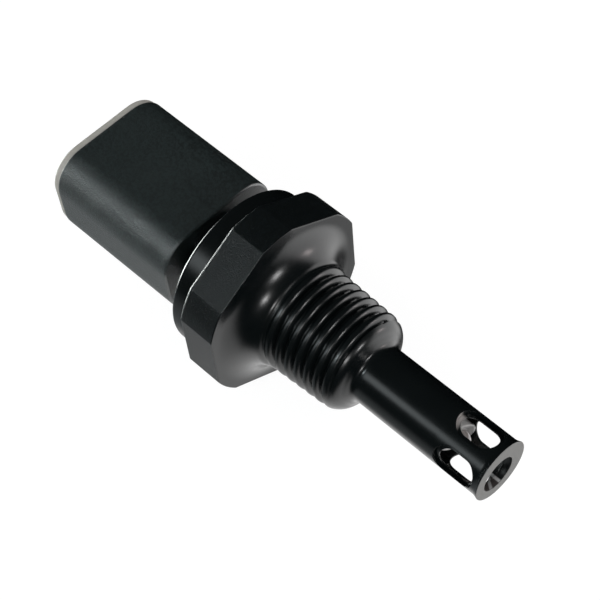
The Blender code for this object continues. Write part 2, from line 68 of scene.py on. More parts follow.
class Val:
    """A node's output that takes part in arithmetic."""

    def __init__(self, graph: "Graph", socket: bpy.types.NodeSocket) -> None:
        """Wraps one output socket of the graph's tree."""
        self.graph = graph
        self.socket = socket

    def __add__(self, other: "Val | float") -> "Val":
        """This value plus the other."""
        return self.graph.math("ADD", self, other)

    def __sub__(self, other: "Val | float") -> "Val":
        """This value less the other."""
        return self.graph.math("SUBTRACT", self, other)

    def __rsub__(self, other: float) -> "Val":
        """The other value less this one."""
        return self.graph.math("SUBTRACT", other, self)

    def __mul__(self, other: "Val | float") -> "Val":
        """The product of the two values."""
        return self.graph.math("MULTIPLY", self, other)

    def __truediv__(self, other: "Val | float") -> "Val":
        """This value divided by the other."""
        return self.graph.math("DIVIDE", self, other)

    def __rtruediv__(self, other: float) -> "Val":
        """The other value divided by this one."""
        return self.graph.math("DIVIDE", other, self)

    __radd__ = __add__
    __rmul__ = __mul__

    def power(self, exponent: "Val | float") -> "Val":
        """This value raised to an exponent."""
        return self.graph.math("POWER", self, exponent)

    def least(self, other: "Val | float") -> "Val":
        """The smaller of the two values."""
        return self.graph.math("MINIMUM", self, other)

    def most(self, other: "Val | float") -> "Val":
        """The larger of the two values."""
        return self.graph.math("MAXIMUM", self, other)


class Graph:
    """A node tree, with the one way in which nodes are added to it."""

    def __init__(self, tree: bpy.types.NodeTree) -> None:
        """Takes over a tree, which may already have nodes."""
        self.tree = tree

    def node(
        self, kind: str, settings: Mapping | None = None, inputs: Mapping | None = None, output: int | str = 0
    ) -> Val:
        """Adds a node.

        Args:
            kind: the node's type.
            settings: its properties, set first.
            inputs: values or links by the name or number of each socket.
            output: which output is returned.

        Returns:
            The chosen output.
        """
        made = self.tree.nodes.new(kind)
        for key, value in (settings or {}).items():
            setattr(made, key, value)
        for key, value in (inputs or {}).items():
            self.feed(made.inputs[key], value)
        return Val(self, made.outputs[output] if made.outputs else None)

    def feed(self, socket: bpy.types.NodeSocket, value: object) -> None:
        """Links a value to a socket, or sets the socket to it.

        Args:
            socket: an input socket.
            value: what it gets.
        """
        if isinstance(value, Val):
            self.tree.links.new(value.socket, socket)
        else:
            socket.default_value = value

    def math(self, operation: str, *values: "Val | float") -> Val:
        """One Math node on up to three values."""
        return self.node("ShaderNodeMath", {"operation": operation}, dict(enumerate(values)))

    def split(self, vector: Val) -> tuple[Val, Val, Val]:
        """The three parts of a vector."""
        outputs = self.node("ShaderNodeSeparateXYZ", {}, {0: vector}).socket.node.outputs
        return Val(self, outputs[0]), Val(self, outputs[1]), Val(self, outputs[2])

    def join(self, x: "Val | float", y: "Val | float", z: "Val | float") -> Val:
        """A vector from three values."""
        return self.node("ShaderNodeCombineXYZ", {}, {0: x, 1: y, 2: z})

    def blend(self, factor: "Val | float", first: "Val | Colour", second: "Val | Colour") -> Val:
        """Mixes two colours.

        Args:
            factor: the second colour's share.
            first: a colour.
            second: another colour.

        Returns:
            The mixed colour.
        """
        first = first if isinstance(first, Val) else (*first, 1.0)
        second = second if isinstance(second, Val) else (*second, 1.0)
        return self.node("ShaderNodeMix", {"data_type": "RGBA"}, {0: factor, 6: first, 7: second}, 2)

    def vector(self, operation: str, *values: object, output: str = "Vector") -> Val:
        """One Vector Math node; a scale's factor is the second value.

        Args:
            operation: what it does.
            values: its inputs in order.
            output: the name of its output.

        Returns:
            The chosen output.
        """
        inputs = {number: value for number, value in enumerate(values)}
        if operation == "SCALE":
            inputs = {0: values[0], "Scale": values[1]}
        return self.node("ShaderNodeVectorMath", {"operation": operation}, inputs, output)

    def rise(self, value: Val, low: "Val | float", high: "Val | float") -> Val:
        """A smooth step from 0 at low to 1 at high."""
        inputs = {"Value": value, "From Min": low, "From Max": high}
        return self.node("ShaderNodeMapRange", {"interpolation_type": "SMOOTHSTEP"}, inputs)

    def fall(self, value: Val, low: "Val | float", high: "Val | float") -> Val:
        """A smooth step from 1 at low to 0 at high."""
        return 1.0 - self.rise(value, low, high)


class Sheet(Graph):
    """A material's node tree, with the patterns that the finishes share."""

    def __init__(self, name: str) -> None:
        """Starts a new material.

        Args:
            name: the material's name.
        """
        self.material = bpy.data.materials.new(name)
        self.material.use_nodes = True
        super().__init__(self.material.node_tree)
        self.shader = self.tree.nodes["Principled BSDF"]

    def place(self) -> Val:
        """Object coordinates, in metres."""
        return self.node("ShaderNodeTexCoord", {}, {}, "Object")

    def scaled(self, vector: Val, scale: tuple[float, float, float]) -> Val:
        """The vector stretched by a factor along each axis."""
        return self.vector("MULTIPLY", vector, scale)

    def noise(self, vector: Val, size: float, detail: float = 2.0, roughness: float = 0.5) -> Val:
        """Noise about 0.5 whose features have the given size in metres."""
        inputs = {"Vector": vector, "Scale": 1.0 / size, "Detail": detail, "Roughness": roughness}
        return self.node("ShaderNodeTexNoise", {"normalize": True}, inputs)

    def cells(self, vector: Val, size: float) -> Val:
        """Distance to the middle of round cells of the given size."""
        inputs = {"Vector": vector, "Scale": 1.0 / size}
        return self.node("ShaderNodeTexVoronoi", {"feature": "F1"}, inputs)

    def bump(self, height: Val, depth: float, strength: float = 1.0, under: Val | None = None) -> Val:
        """A bumped normal, over another one where given.

        Args:
            height: the height, 1 at its top.
            depth: how many metres a height of 1 is.
            strength: the bump's share.
            under: the normal below it.

        Returns:
            The normal.
        """
        inputs = {"Strength": strength, "Distance": depth, "Height": height}
        if under is not None:
            inputs["Normal"] = under
        return self.node("ShaderNodeBump", {}, inputs)

    def set(self, **values: object) -> None:
        """Sets or links sockets of the surface shader, spaces in their names written as underscores."""
        for key, value in values.items():
            self.feed(self.shader.inputs[key.replace("_", " ")], value)


@dataclass(frozen=True)
class Finish:
    """A finish of one of the sensor's pieces, made once."""

    slot: str
    colour: Colour
    roughness: float

    def material(self) -> bpy.types.Material:
        """Makes the finish's material at its first use.

        Returns:
            The material.
        """
        name = f"dressed_{self.slot}"
        if name not in bpy.data.materials:
            self.draw(Sheet(name))
        return bpy.data.materials[name]

    def draw(self, sheet: Sheet) -> None:
        """Draws the finish's nodes.

        Args:
            sheet: a new material's nodes.
        """
        raise NotImplementedError

    def lighter(self, factor: float) -> Colour:
        """The finish's colour times a factor."""
        return tuple(part * factor for part in self.colour)


@dataclass(frozen=True)
class Streak:
    """A painted highlight, a pale streak on the wall behind the tip's hole: where it starts, its slant and
    its brightness.
    """

    middle: float
    slope: float
    brightness: float


@dataclass(frozen=True)
class GlossMoulding(Finish):
    """Black moulding: glossy tube and thread, grained hexagon sides, a dull end face coloured light grey as
    painted sheen, and painted highlights in the tip's hole.
    """

    side_radius: float = 11.85 * MM
    side_front: float = -0.04 * MM
    grain_size: float = 0.18 * MM
    grain_depth: float = 0.05 * MM
    grain_roughness: float = 0.26
    speck_size: float = 0.28 * MM
    thread_rear: float = 2.4 * MM
    thread_front: float = 13.6 * MM
    thread_roughness: float = 0.2
    cage_radius: float = 3.9 * MM
    cage_rear: float = 26.0 * MM
    pale_patch_colour: Colour = (0.36, 0.335, 0.325)
    pale_patch_front: float = 28.3 * MM
    pale_patch_bottom: float = 1.0 * MM
    pale_patch_sides: tuple[float, float] = (-1.8 * MM, 1.5 * MM)
    pale_patch_dullness: float = 0.2
    tip_face: float = 34.29 * MM
    tip_roughness: float = 0.5
    # Painted sheen: the black end face is coloured light grey for the light it catches.
    tip_sheen_colour: Colour = (0.21, 0.208, 0.202)
    hole_rear: float = 31.2 * MM
    hole_radius: float = 3.4 * MM
    hole_side: float = 1.0 * MM
    hole_colour: Colour = (0.06, 0.052, 0.05)
    hole_dullness: float = 0.12
    # Painted highlights: pale streaks on the wall behind the tip's hole.
    hole_highlights: tuple[Streak, ...] = (Streak(0.95 * MM, 0.0, 0.5), Streak(2.27 * MM, 0.565, 0.38))
    streak_width: float = 0.27 * MM
    streak_side: tuple[float, float] = (-0.915, -0.404)

    def draw(self, sheet: Sheet) -> None:
        """Draws the finish's nodes.

        Args:
            sheet: a new material's nodes.
        """
        place = sheet.place()
        x, y, z = sheet.split(place)
        radius = (y * y + z * z).power(0.5)
        sides = sheet.rise(radius, self.side_radius - 0.15 * MM, self.side_radius)
        sides = sides * sheet.fall(x, self.side_front - 0.12 * MM, self.side_front)
        tip = sheet.rise(x, self.tip_face - 0.04 * MM, self.tip_face)
        thread = sheet.rise(x, self.thread_rear, self.thread_rear + 1.2 * MM)
        thread = thread * sheet.fall(x, self.thread_front, self.thread_front + 0.6 * MM)
        inner = sheet.fall(radius, self.cage_radius - 0.05 * MM, self.cage_radius) * (1.0 - tip)
        inner = inner * sheet.rise(x, self.cage_rear, self.cage_rear + 0.5 * MM)
        cloud = sheet.noise(place, 3.2 * MM, 3.0)
        flow = sheet.noise(sheet.scaled(place, (0.12, 1.0, 1.0)), 0.9 * MM, 2.0)
        grain = sheet.noise(place, self.grain_size, 3.0, 0.6)
        peel = sheet.noise(place, 0.75 * MM, 1.0)
        speck = sheet.rise(sheet.noise(place, self.speck_size, 2.0, 0.6), 0.45, 0.62)
        # Colours a pale patch on the wall of the upper window, its front uneven.
        pale_patch = inner * self.pale_patch(sheet, (x, y, z), cloud)
        body = sheet.blend(cloud, self.lighter(0.8), self.lighter(1.25))
        body = sheet.blend(sides * speck, body, self.lighter(2.0))
        # Painted sheen: the end face gets a light grey colour for the light it catches.
        body = sheet.blend(tip, body, self.tip_sheen_colour)
        body = self.with_hole_highlights(sheet, body, (x, y, z), radius)
        body = sheet.blend(pale_patch, body, self.pale_patch_colour)
        rough = self.roughness + 0.06 * cloud + 0.05 * flow
        hole = inner * sheet.rise(x, self.hole_rear, self.hole_rear + 1.0 * MM)
        finishes = ((sides, self.grain_roughness), (tip, self.tip_roughness), (thread, self.thread_roughness))
        for mask, roughness in finishes:
            rough = rough + mask * (roughness - self.roughness)
        rough = rough + pale_patch * self.pale_patch_dullness + hole * self.hole_dullness
        skin = sheet.bump(peel, 0.006 * MM, 0.6)
        skin = sheet.bump(flow, 0.004 * MM, 0.5, skin)
        skin = sheet.bump(grain * (sides + 0.6 * tip), self.grain_depth, 0.9, skin)
        sheet.set(Base_Color=body, Roughness=rough, Normal=skin, IOR=1.5)

    def pale_patch(self, sheet: Sheet, place: tuple[Val, Val, Val], cloud: Val) -> Val:
        """A pale patch on the wall of the upper window.

        Args:
            sheet: the material's nodes.
            place: object coordinates.
            cloud: noise that makes the patch's front uneven.

        Returns:
            A mask, 1 in the patch.
        """
        x, y, z = place
        left, right = self.pale_patch_sides
        mask = sheet.fall(x + cloud * 0.8 * MM, self.pale_patch_front, self.pale_patch_front + 0.6 * MM)
        mask = mask * sheet.rise(z, self.pale_patch_bottom, self.pale_patch_bottom + 0.5 * MM)
        return mask * sheet.rise(y, left, left + 0.5 * MM) * sheet.fall(y, right - 0.6 * MM, right)

    def with_hole_highlights(self, sheet: Sheet, body: Val, place: tuple[Val, Val, Val], radius: Val) -> Val:
        """Adds painted highlights: pale streaks on the wall behind the hole in the tip.

        Args:
            sheet: the material's nodes.
            body: the colour so far.
            place: object coordinates.
            radius: distance from the X axis.

        Returns:
            The colour with the marks.
        """
        x, y, z = place
        across = y * self.streak_side[0] + z * self.streak_side[1]
        inside = sheet.rise(x, self.hole_rear, self.hole_rear + 0.4 * MM)
        inside = inside * sheet.fall(radius, self.hole_radius - 0.1 * MM, self.hole_radius)
        inside = inside * sheet.fall(x, self.tip_face - 0.1 * MM, self.tip_face)
        wall = inside * sheet.rise(across, self.hole_side - 0.2 * MM, self.hole_side)
        body = sheet.blend(wall, body, self.hole_colour)
        depth = self.tip_face - x
        # Painted highlights: pale streaks where light glints on the wall behind the hole.
        for streak in self.hole_highlights:
            off = sheet.math("ABSOLUTE", across + streak.slope * depth - streak.middle)
            painted_highlight = inside * sheet.fall(off, 0.35 * self.streak_width, self.streak_width)
            body = sheet.blend(painted_highlight, body, (streak.brightness,) * 3)
        return body


@dataclass(frozen=True)
class Grained(Finish):
    """Moulded plastic with a fine even grain and a soft sheen."""

    grain: float = 0.2 * MM
    depth: float = 0.02 * MM
    spread: float = 0.2
    ior: float = 1.5

    def draw(self, sheet: Sheet) -> None:
        """Draws the finish's nodes.

        Args:
            sheet: a new material's nodes.
        """
        place = sheet.place()
        cloud = sheet.noise(place, 4.0 * MM, 3.0)
        grain = sheet.noise(place, self.grain, 3.0, 0.6)
        draw = sheet.noise(sheet.scaled(place, (0.08, 1.0, 1.0)), 0.7 * MM, 2.0)
        fleck = sheet.rise(sheet.noise(place, 1.8 * self.grain, 2.0, 0.6), 0.4, 0.6)
        half = 0.5 * self.spread
        body = sheet.blend(cloud, self.lighter(1.0 - half), self.lighter(1.0 + half))
        body = sheet.blend(0.8 * fleck, body, self.lighter(1.0 + 2.0 * self.spread))
        skin = sheet.bump(grain, self.depth, 0.7)
        skin = sheet.bump(draw, 0.006 * MM, 0.5, skin)
        rough = self.roughness + 0.08 * cloud + 0.06 * grain
        sheet.set(Base_Color=body, Roughness=rough, Normal=skin, IOR=self.ior)


@dataclass(frozen=True)
class Cast(Finish):
    """Cast resin or epoxy: smooth, slightly wavy, with faint bubbles and milky clouds."""

    clear: float = 0.3
    bubble: float = 0.35 * MM

    def draw(self, sheet: Sheet) -> None:
        """Draws the finish's nodes.

        Args:
            sheet: a new material's nodes.
        """
        place = sheet.place()
        cloud = sheet.noise(place, 1.1 * MM, 3.0)
        bubbles = sheet.fall(sheet.cells(place, self.bubble), 0.05, 0.22)
        body = sheet.blend(cloud, self.lighter(0.72), self.lighter(1.25))
        body = sheet.blend(0.4 * bubbles, body, self.lighter(0.5))
        skin = sheet.bump(cloud, 0.05 * MM, 0.6)
        skin = sheet.bump(bubbles, 0.015 * MM, 0.5, skin)
        rough = self.roughness + 0.12 * cloud
        sheet.set(Base_Color=body, Roughness=rough, Normal=skin, Coat_Weight=self.clear, Coat_Roughness=0.08)


@dataclass(frozen=True)
class Tinned(Finish):
    """Tin plating with rolled lines along the contact and dull patches."""

    def draw(self, sheet: Sheet) -> None:
        """Draws the finish's nodes.

        Args:
            sheet: a new material's nodes.
        """
        place = sheet.place()
        rolled = sheet.noise(sheet.scaled(place, (0.06, 1.0, 1.0)), 0.12 * MM, 3.0)
        patch = sheet.noise(place, 0.9 * MM, 3.0)
        body = sheet.blend(patch, self.lighter(0.82), self.lighter(1.08))
        rough = self.roughness + 0.16 * patch + 0.08 * rolled
        sheet.set(Base_Color=body, Metallic=1.0, Roughness=rough, Normal=sheet.bump(rolled, 0.006 * MM, 0.6))


GLOSS_BLACK = GlossMoulding("gloss_black_plastic", (0.0020, 0.0034, 0.0038), 0.18)
SATIN_BLACK = Grained("satin_black_plastic", (0.0085, 0.0130, 0.0130), 0.24, 0.2 * MM, 0.1 * MM, 0.9, 2.05)
PALE_GREY = Grained("pale_grey_plastic", (0.47, 0.45, 0.41), 0.42, 0.3 * MM, 0.012 * MM, 0.05)
CARRIER = Grained("carrier_plastic", (0.05, 0.05, 0.052), 0.46, 0.3 * MM, 0.01 * MM, 0.12)
RESIN = Cast("potting_resin", (0.62, 0.61, 0.60), 0.34)
BEAD_EPOXY = Cast("bead_epoxy", (0.60, 0.54, 0.52), 0.18, 0.6, 0.5 * MM)
CONTACT = Tinned("tinned_contact", (0.72, 0.71, 0.68), 0.2)
LEAD = Tinned("tinned_lead", (0.72, 0.71, 0.68), 0.26)
SLEEVE = Grained("sleeve_plastic", (0.62, 0.60, 0.55), 0.44, 0.4 * MM, 0.008 * MM, 0.06)
RUBBER = Grained("seal_rubber", (0.02, 0.02, 0.02), 0.56, 0.12 * MM, 0.01 * MM, 0.25)


class Surface:
    """Grids of points that are welded along their shared rims into one closed mesh."""

    WELD = 0.0015 * MM

    def __init__(self) -> None:
        """Starts with nothing."""
        self.points: list[Array] = []
        self.faces: list[tuple[int, ...]] = []
        self.count = 0

    def grid(self, rows: Sequence[Array]) -> None:
        """Adds a grid whose rows close on themselves.

        Args:
            rows: arrays of equally many points, one for each row.
        """
        stack = np.array(rows, float)
        height, width = stack.shape[:2]
        start = self.count
        self.points.append(stack.reshape(-1, 3))
        self.count += height * width
        columns = np.arange(width)
        after = (columns + 1) % width
        for row in range(height - 1):
            low = start + row * width
            high = low + width
            quads = np.stack([low + columns, low + after, high + after, high + columns], 1)
            self.faces.extend(map(tuple, quads.tolist()))

    def pole(self, ring: Array, centre: Sequence[float]) -> None:
        """Closes a ring of points with a fan round a centre point.

        Args:
            ring: the ring's points.
            centre: the fan's middle.
        """
        start = self.count
        self.points.append(np.vstack([ring, [centre]]))
        self.count += len(ring) + 1
        hub = start + len(ring)
        for i in range(len(ring)):
            self.faces.append((start + i, start + (i + 1) % len(ring), hub))

    def mesh(self, name: str) -> bpy.types.Mesh:
        """The welded mesh, its faces pointing outwards.

        Args:
            name: the mesh's name.

        Returns:
            The mesh.
        """
        mesh = bpy.data.meshes.new(name)
        mesh.from_pydata(np.vstack(self.points).tolist(), [], self.faces)
        weld(mesh, self.WELD)
        return mesh


def skin_of(rows: Sequence[Array], name: str) -> bpy.types.Mesh:
    """The welded mesh over one grid of rows.

    Args:
        rows: arrays of equally many points, one for each row.
        name: the mesh's name.

    Returns:
        The mesh.
    """
    surface = Surface()
    surface.grid(rows)
    return surface.mesh(name)


def weld(mesh: bpy.types.Mesh, distance: float) -> None:
    """Merges doubled points of a mesh and turns its faces outwards.

    Args:
        mesh: the mesh, which is changed.
        distance: how near two points are to become one.
    """
    bm = bmesh.new()
    bm.from_mesh(mesh)
    bmesh.ops.remove_doubles(bm, verts=bm.verts, dist=distance)
    bmesh.ops.dissolve_degenerate(bm, edges=bm.edges, dist=distance)
    bmesh.ops.recalc_face_normals(bm, faces=bm.faces)
    bm.to_mesh(mesh)
    bm.free()


def new_object(name: str, data: bpy.types.ID) -> bpy.types.Object:
    """Puts a mesh, light or camera into the scene as an object at the origin.

    Args:
        name: the object's name.
        data: what it shows.

    Returns:
        The object.
    """
    obj = bpy.data.objects.new(name, data)
    bpy.context.scene.collection.objects.link(obj)
    return obj


def dress(name: str, mesh: bpy.types.Mesh, finish: Finish, *nodes: str, crease: float = 38.0) -> None:
    """Turns a finished mesh into a piece of the sensor.

    Args:
        name: the piece's name.
        mesh: its mesh, in place.
        finish: its finish.
        nodes: the CAD nodes that it stands for.
        crease: the angle in degrees above which an edge stays sharp.
    """
    mesh.materials.clear()
    mesh.materials.append(finish.material())
    mesh.shade_smooth()
    mesh.set_sharp_from_angle(angle=math.radians(crease))
    piece = new_object(name, mesh)
    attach(piece, BODY)
    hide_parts(*nodes)
    mesh.calc_loop_triangles()
    LOG.info("%s: %d triangles, for %s", name, len(mesh.loop_triangles), ", ".join(nodes))


def evaluated(obj: bpy.types.Object, name: str) -> bpy.types.Mesh:
    """The plain mesh that an object's modifiers make, after which the object is removed.

    Args:
        obj: the object.
        name: the mesh's name.

    Returns:
        The mesh.
    """
    bpy.context.view_layer.update()
    graph = bpy.context.evaluated_depsgraph_get()
    done = bpy.data.meshes.new_from_object(obj.evaluated_get(graph))
    bpy.data.objects.remove(obj)
    done.name = name
    return done


class Recipe(Graph):
    """A Geometry Nodes tree with named inputs, and the way to run it on a mesh."""

    KINDS = {int: "NodeSocketInt", float: "NodeSocketFloat", bpy.types.Material: "NodeSocketMaterial"}

    def __init__(self, name: str, values: Mapping[str, object]) -> None:
        """Starts a tree that takes a geometry and gives one back.

        Args:
            name: the tree's name.
            values: a value for each of its named inputs, the material among them.
        """
        tree = bpy.data.node_groups.new(name, "GeometryNodeTree")
        super().__init__(tree)
        self.values: dict[str, object] = {}
        for side in ("INPUT", "OUTPUT"):
            tree.interface.new_socket(name="Geometry", in_out=side, socket_type="NodeSocketGeometry")
        for key, value in values.items():
            kind = self.KINDS[type(value)]
            socket = tree.interface.new_socket(name=key, in_out="INPUT", socket_type=kind)
            self.values[socket.identifier] = value
        self.entry = tree.nodes.new("NodeGroupInput")

    def value(self, name: str) -> Val:
        """A named input, as a value."""
        return Val(self, self.entry.outputs[name])

    def close(self, geometry: Val) -> None:
        """Ends the tree: makes instances real, sets the material and gives the result out.

        Args:
            geometry: what the tree has made.
        """
        real = self.node("GeometryNodeRealizeInstances", {}, {0: geometry})
        coat = {"Geometry": real, "Material": self.value("Material")}
        self.node("NodeGroupOutput", {}, {"Geometry": self.node("GeometryNodeSetMaterial", {}, coat)})

    def run(self, mesh: bpy.types.Mesh, name: str) -> bpy.types.Mesh:
        """Runs the tree on a mesh.

        Args:
            mesh: the mesh that it starts from.
            name: the name of the result.

        Returns:
            The plain mesh that comes out.
        """
        obj = new_object(f"{name}_raw", mesh)
        modifier = obj.modifiers.new(name, "NODES")
        modifier.node_group = self.tree
        for identifier, value in self.values.items():
            modifier[identifier] = value
        return evaluated(obj, name)


def turned(x: "float | Array", radius: "float | Array", angles: Array) -> Array:
    """Points round the X axis at the given angles, which run from +Z towards -Y."""
    spread = np.ones_like(angles)
    return np.stack([x * spread, -radius * np.sin(angles), radius * np.cos(angles)], 1)


def arc(centre: Point, radius: float, start: float, end: float, steps: int) -> list[Point]:
    """Points (x, radius) along an arc, its angles in degrees from the outward direction towards +X."""
    angles = np.radians(np.linspace(start, end, steps + 1))
    return [(centre[0] + radius * math.sin(a), centre[1] + radius * math.cos(a)) for a in angles]


def quarter(size: float, steps: int) -> list[Point]:
    """What a rounding takes off: from nothing and its whole size to its whole size and nothing."""
    turns = np.radians(np.linspace(0.0, 90.0, steps + 1))
    return [(size * (1 - math.cos(turn)), size * (1 - math.sin(turn))) for turn in turns]


def smooth_line(knots: Sequence[Point], count: int) -> Array:
    """Points evenly along a smooth curve through the knots.

    Args:
        knots: the points that it passes.
        count: how many points come out.

    Returns:
        The points, one in each row.
    """
    line = np.array(knots, float)
    tangents = np.gradient(line, axis=0)
    spans = np.linspace(0.0, len(line) - 1.0, count * 8)
    index = np.minimum(spans.astype(int), len(line) - 2)
    t = (spans - index)[:, None]
    first, second = line[index], line[index + 1]
    curve = (2 * t**3 - 3 * t**2 + 1) * first + (t**3 - 2 * t**2 + t) * tangents[index]
    curve += (3 * t**2 - 2 * t**3) * second + (t**3 - t**2) * tangents[index + 1]
    walked = np.concatenate([[0.0], np.cumsum(np.linalg.norm(np.diff(curve, axis=0), axis=1))])
    even = np.linspace(0.0, walked[-1], count)
    return np.stack([np.interp(even, walked, curve[:, 0]), np.interp(even, walked, curve[:, 1])], 1)


@dataclass
class Thread:
    """Tapered right-hand thread, moulded into the blank."""

    crest_radius: float = 7.32 * MM
    taper: float = 0.047
    pitch: float = 1.5 * MM
    depth: float = 0.74 * MM
    groove_place: float = 2.92 * MM
    groove_angle: float = math.radians(34.0)
    root_share: float = 0.05
    crest_share: float = 0.43
    fullness: float = 1.8
    run_in: tuple[float, float] = (2.2 * MM, 4.3 * MM)
    run_out: tuple[float, float] = (13.2 * MM, 14.0 * MM)

    def radius(self, x: float) -> float:
        """Radius over the crests."""
        return self.crest_radius - self.taper * x

    def recipe(self, finish: Finish) -> Recipe:
        """The tree that sinks a helical groove into a turned blank.

        Args:
            finish: the finish of the result.

        Returns:
            The tree, its inputs filled in.
        """
        values = {
            "Crest Radius": self.crest_radius, "Taper": self.taper, "Pitch": self.pitch, "Depth": self.depth,
            "Groove Place": self.groove_place, "Groove Angle": self.groove_angle,
            "Root": self.root_share, "Crest": self.crest_share, "Fullness": self.fullness,
            "Run In From": self.run_in[0], "Run In To": self.run_in[1],
            "Run Out From": self.run_out[0], "Run Out To": self.run_out[1],
            "Material": finish.material(),
        }
        recipe = Recipe("cut_thread", values)
        get = recipe.value
        x, y, z = recipe.split(recipe.node("GeometryNodeInputPosition"))
        radius = (y * y + z * z).power(0.5)
        angle = recipe.math("ARCTAN2", 0.0 - y, z) - get("Groove Angle")
        turns = (x - get("Groove Place")) / get("Pitch") - angle / (2 * math.pi)
        away = recipe.math("PINGPONG", turns, 0.5)
        share = (away - get("Root")) / (get("Crest") - get("Root"))
        hollow = (1.0 - share.least(1.0).most(0.0)).power(get("Fullness"))
        fade = recipe.rise(x, get("Run In From"), get("Run In To"))
        fade = fade * recipe.fall(x, get("Run Out From"), get("Run Out To"))
        crest = get("Crest Radius") - get("Taper") * x
        floor = radius.most(crest) - get("Depth") * fade * hollow
        factor = radius.least(floor) / radius
        moved = {"Geometry": get("Geometry"), "Position": recipe.join(x, y * factor, z * factor)}
        recipe.close(recipe.node("GeometryNodeSetPosition", {}, moved))
        return recipe

    def cut(self, blank: bpy.types.Mesh, finish: Finish) -> bpy.types.Mesh:
        """Cuts the thread into a blank."""
        return self.recipe(finish).run(blank, "threaded_blank")


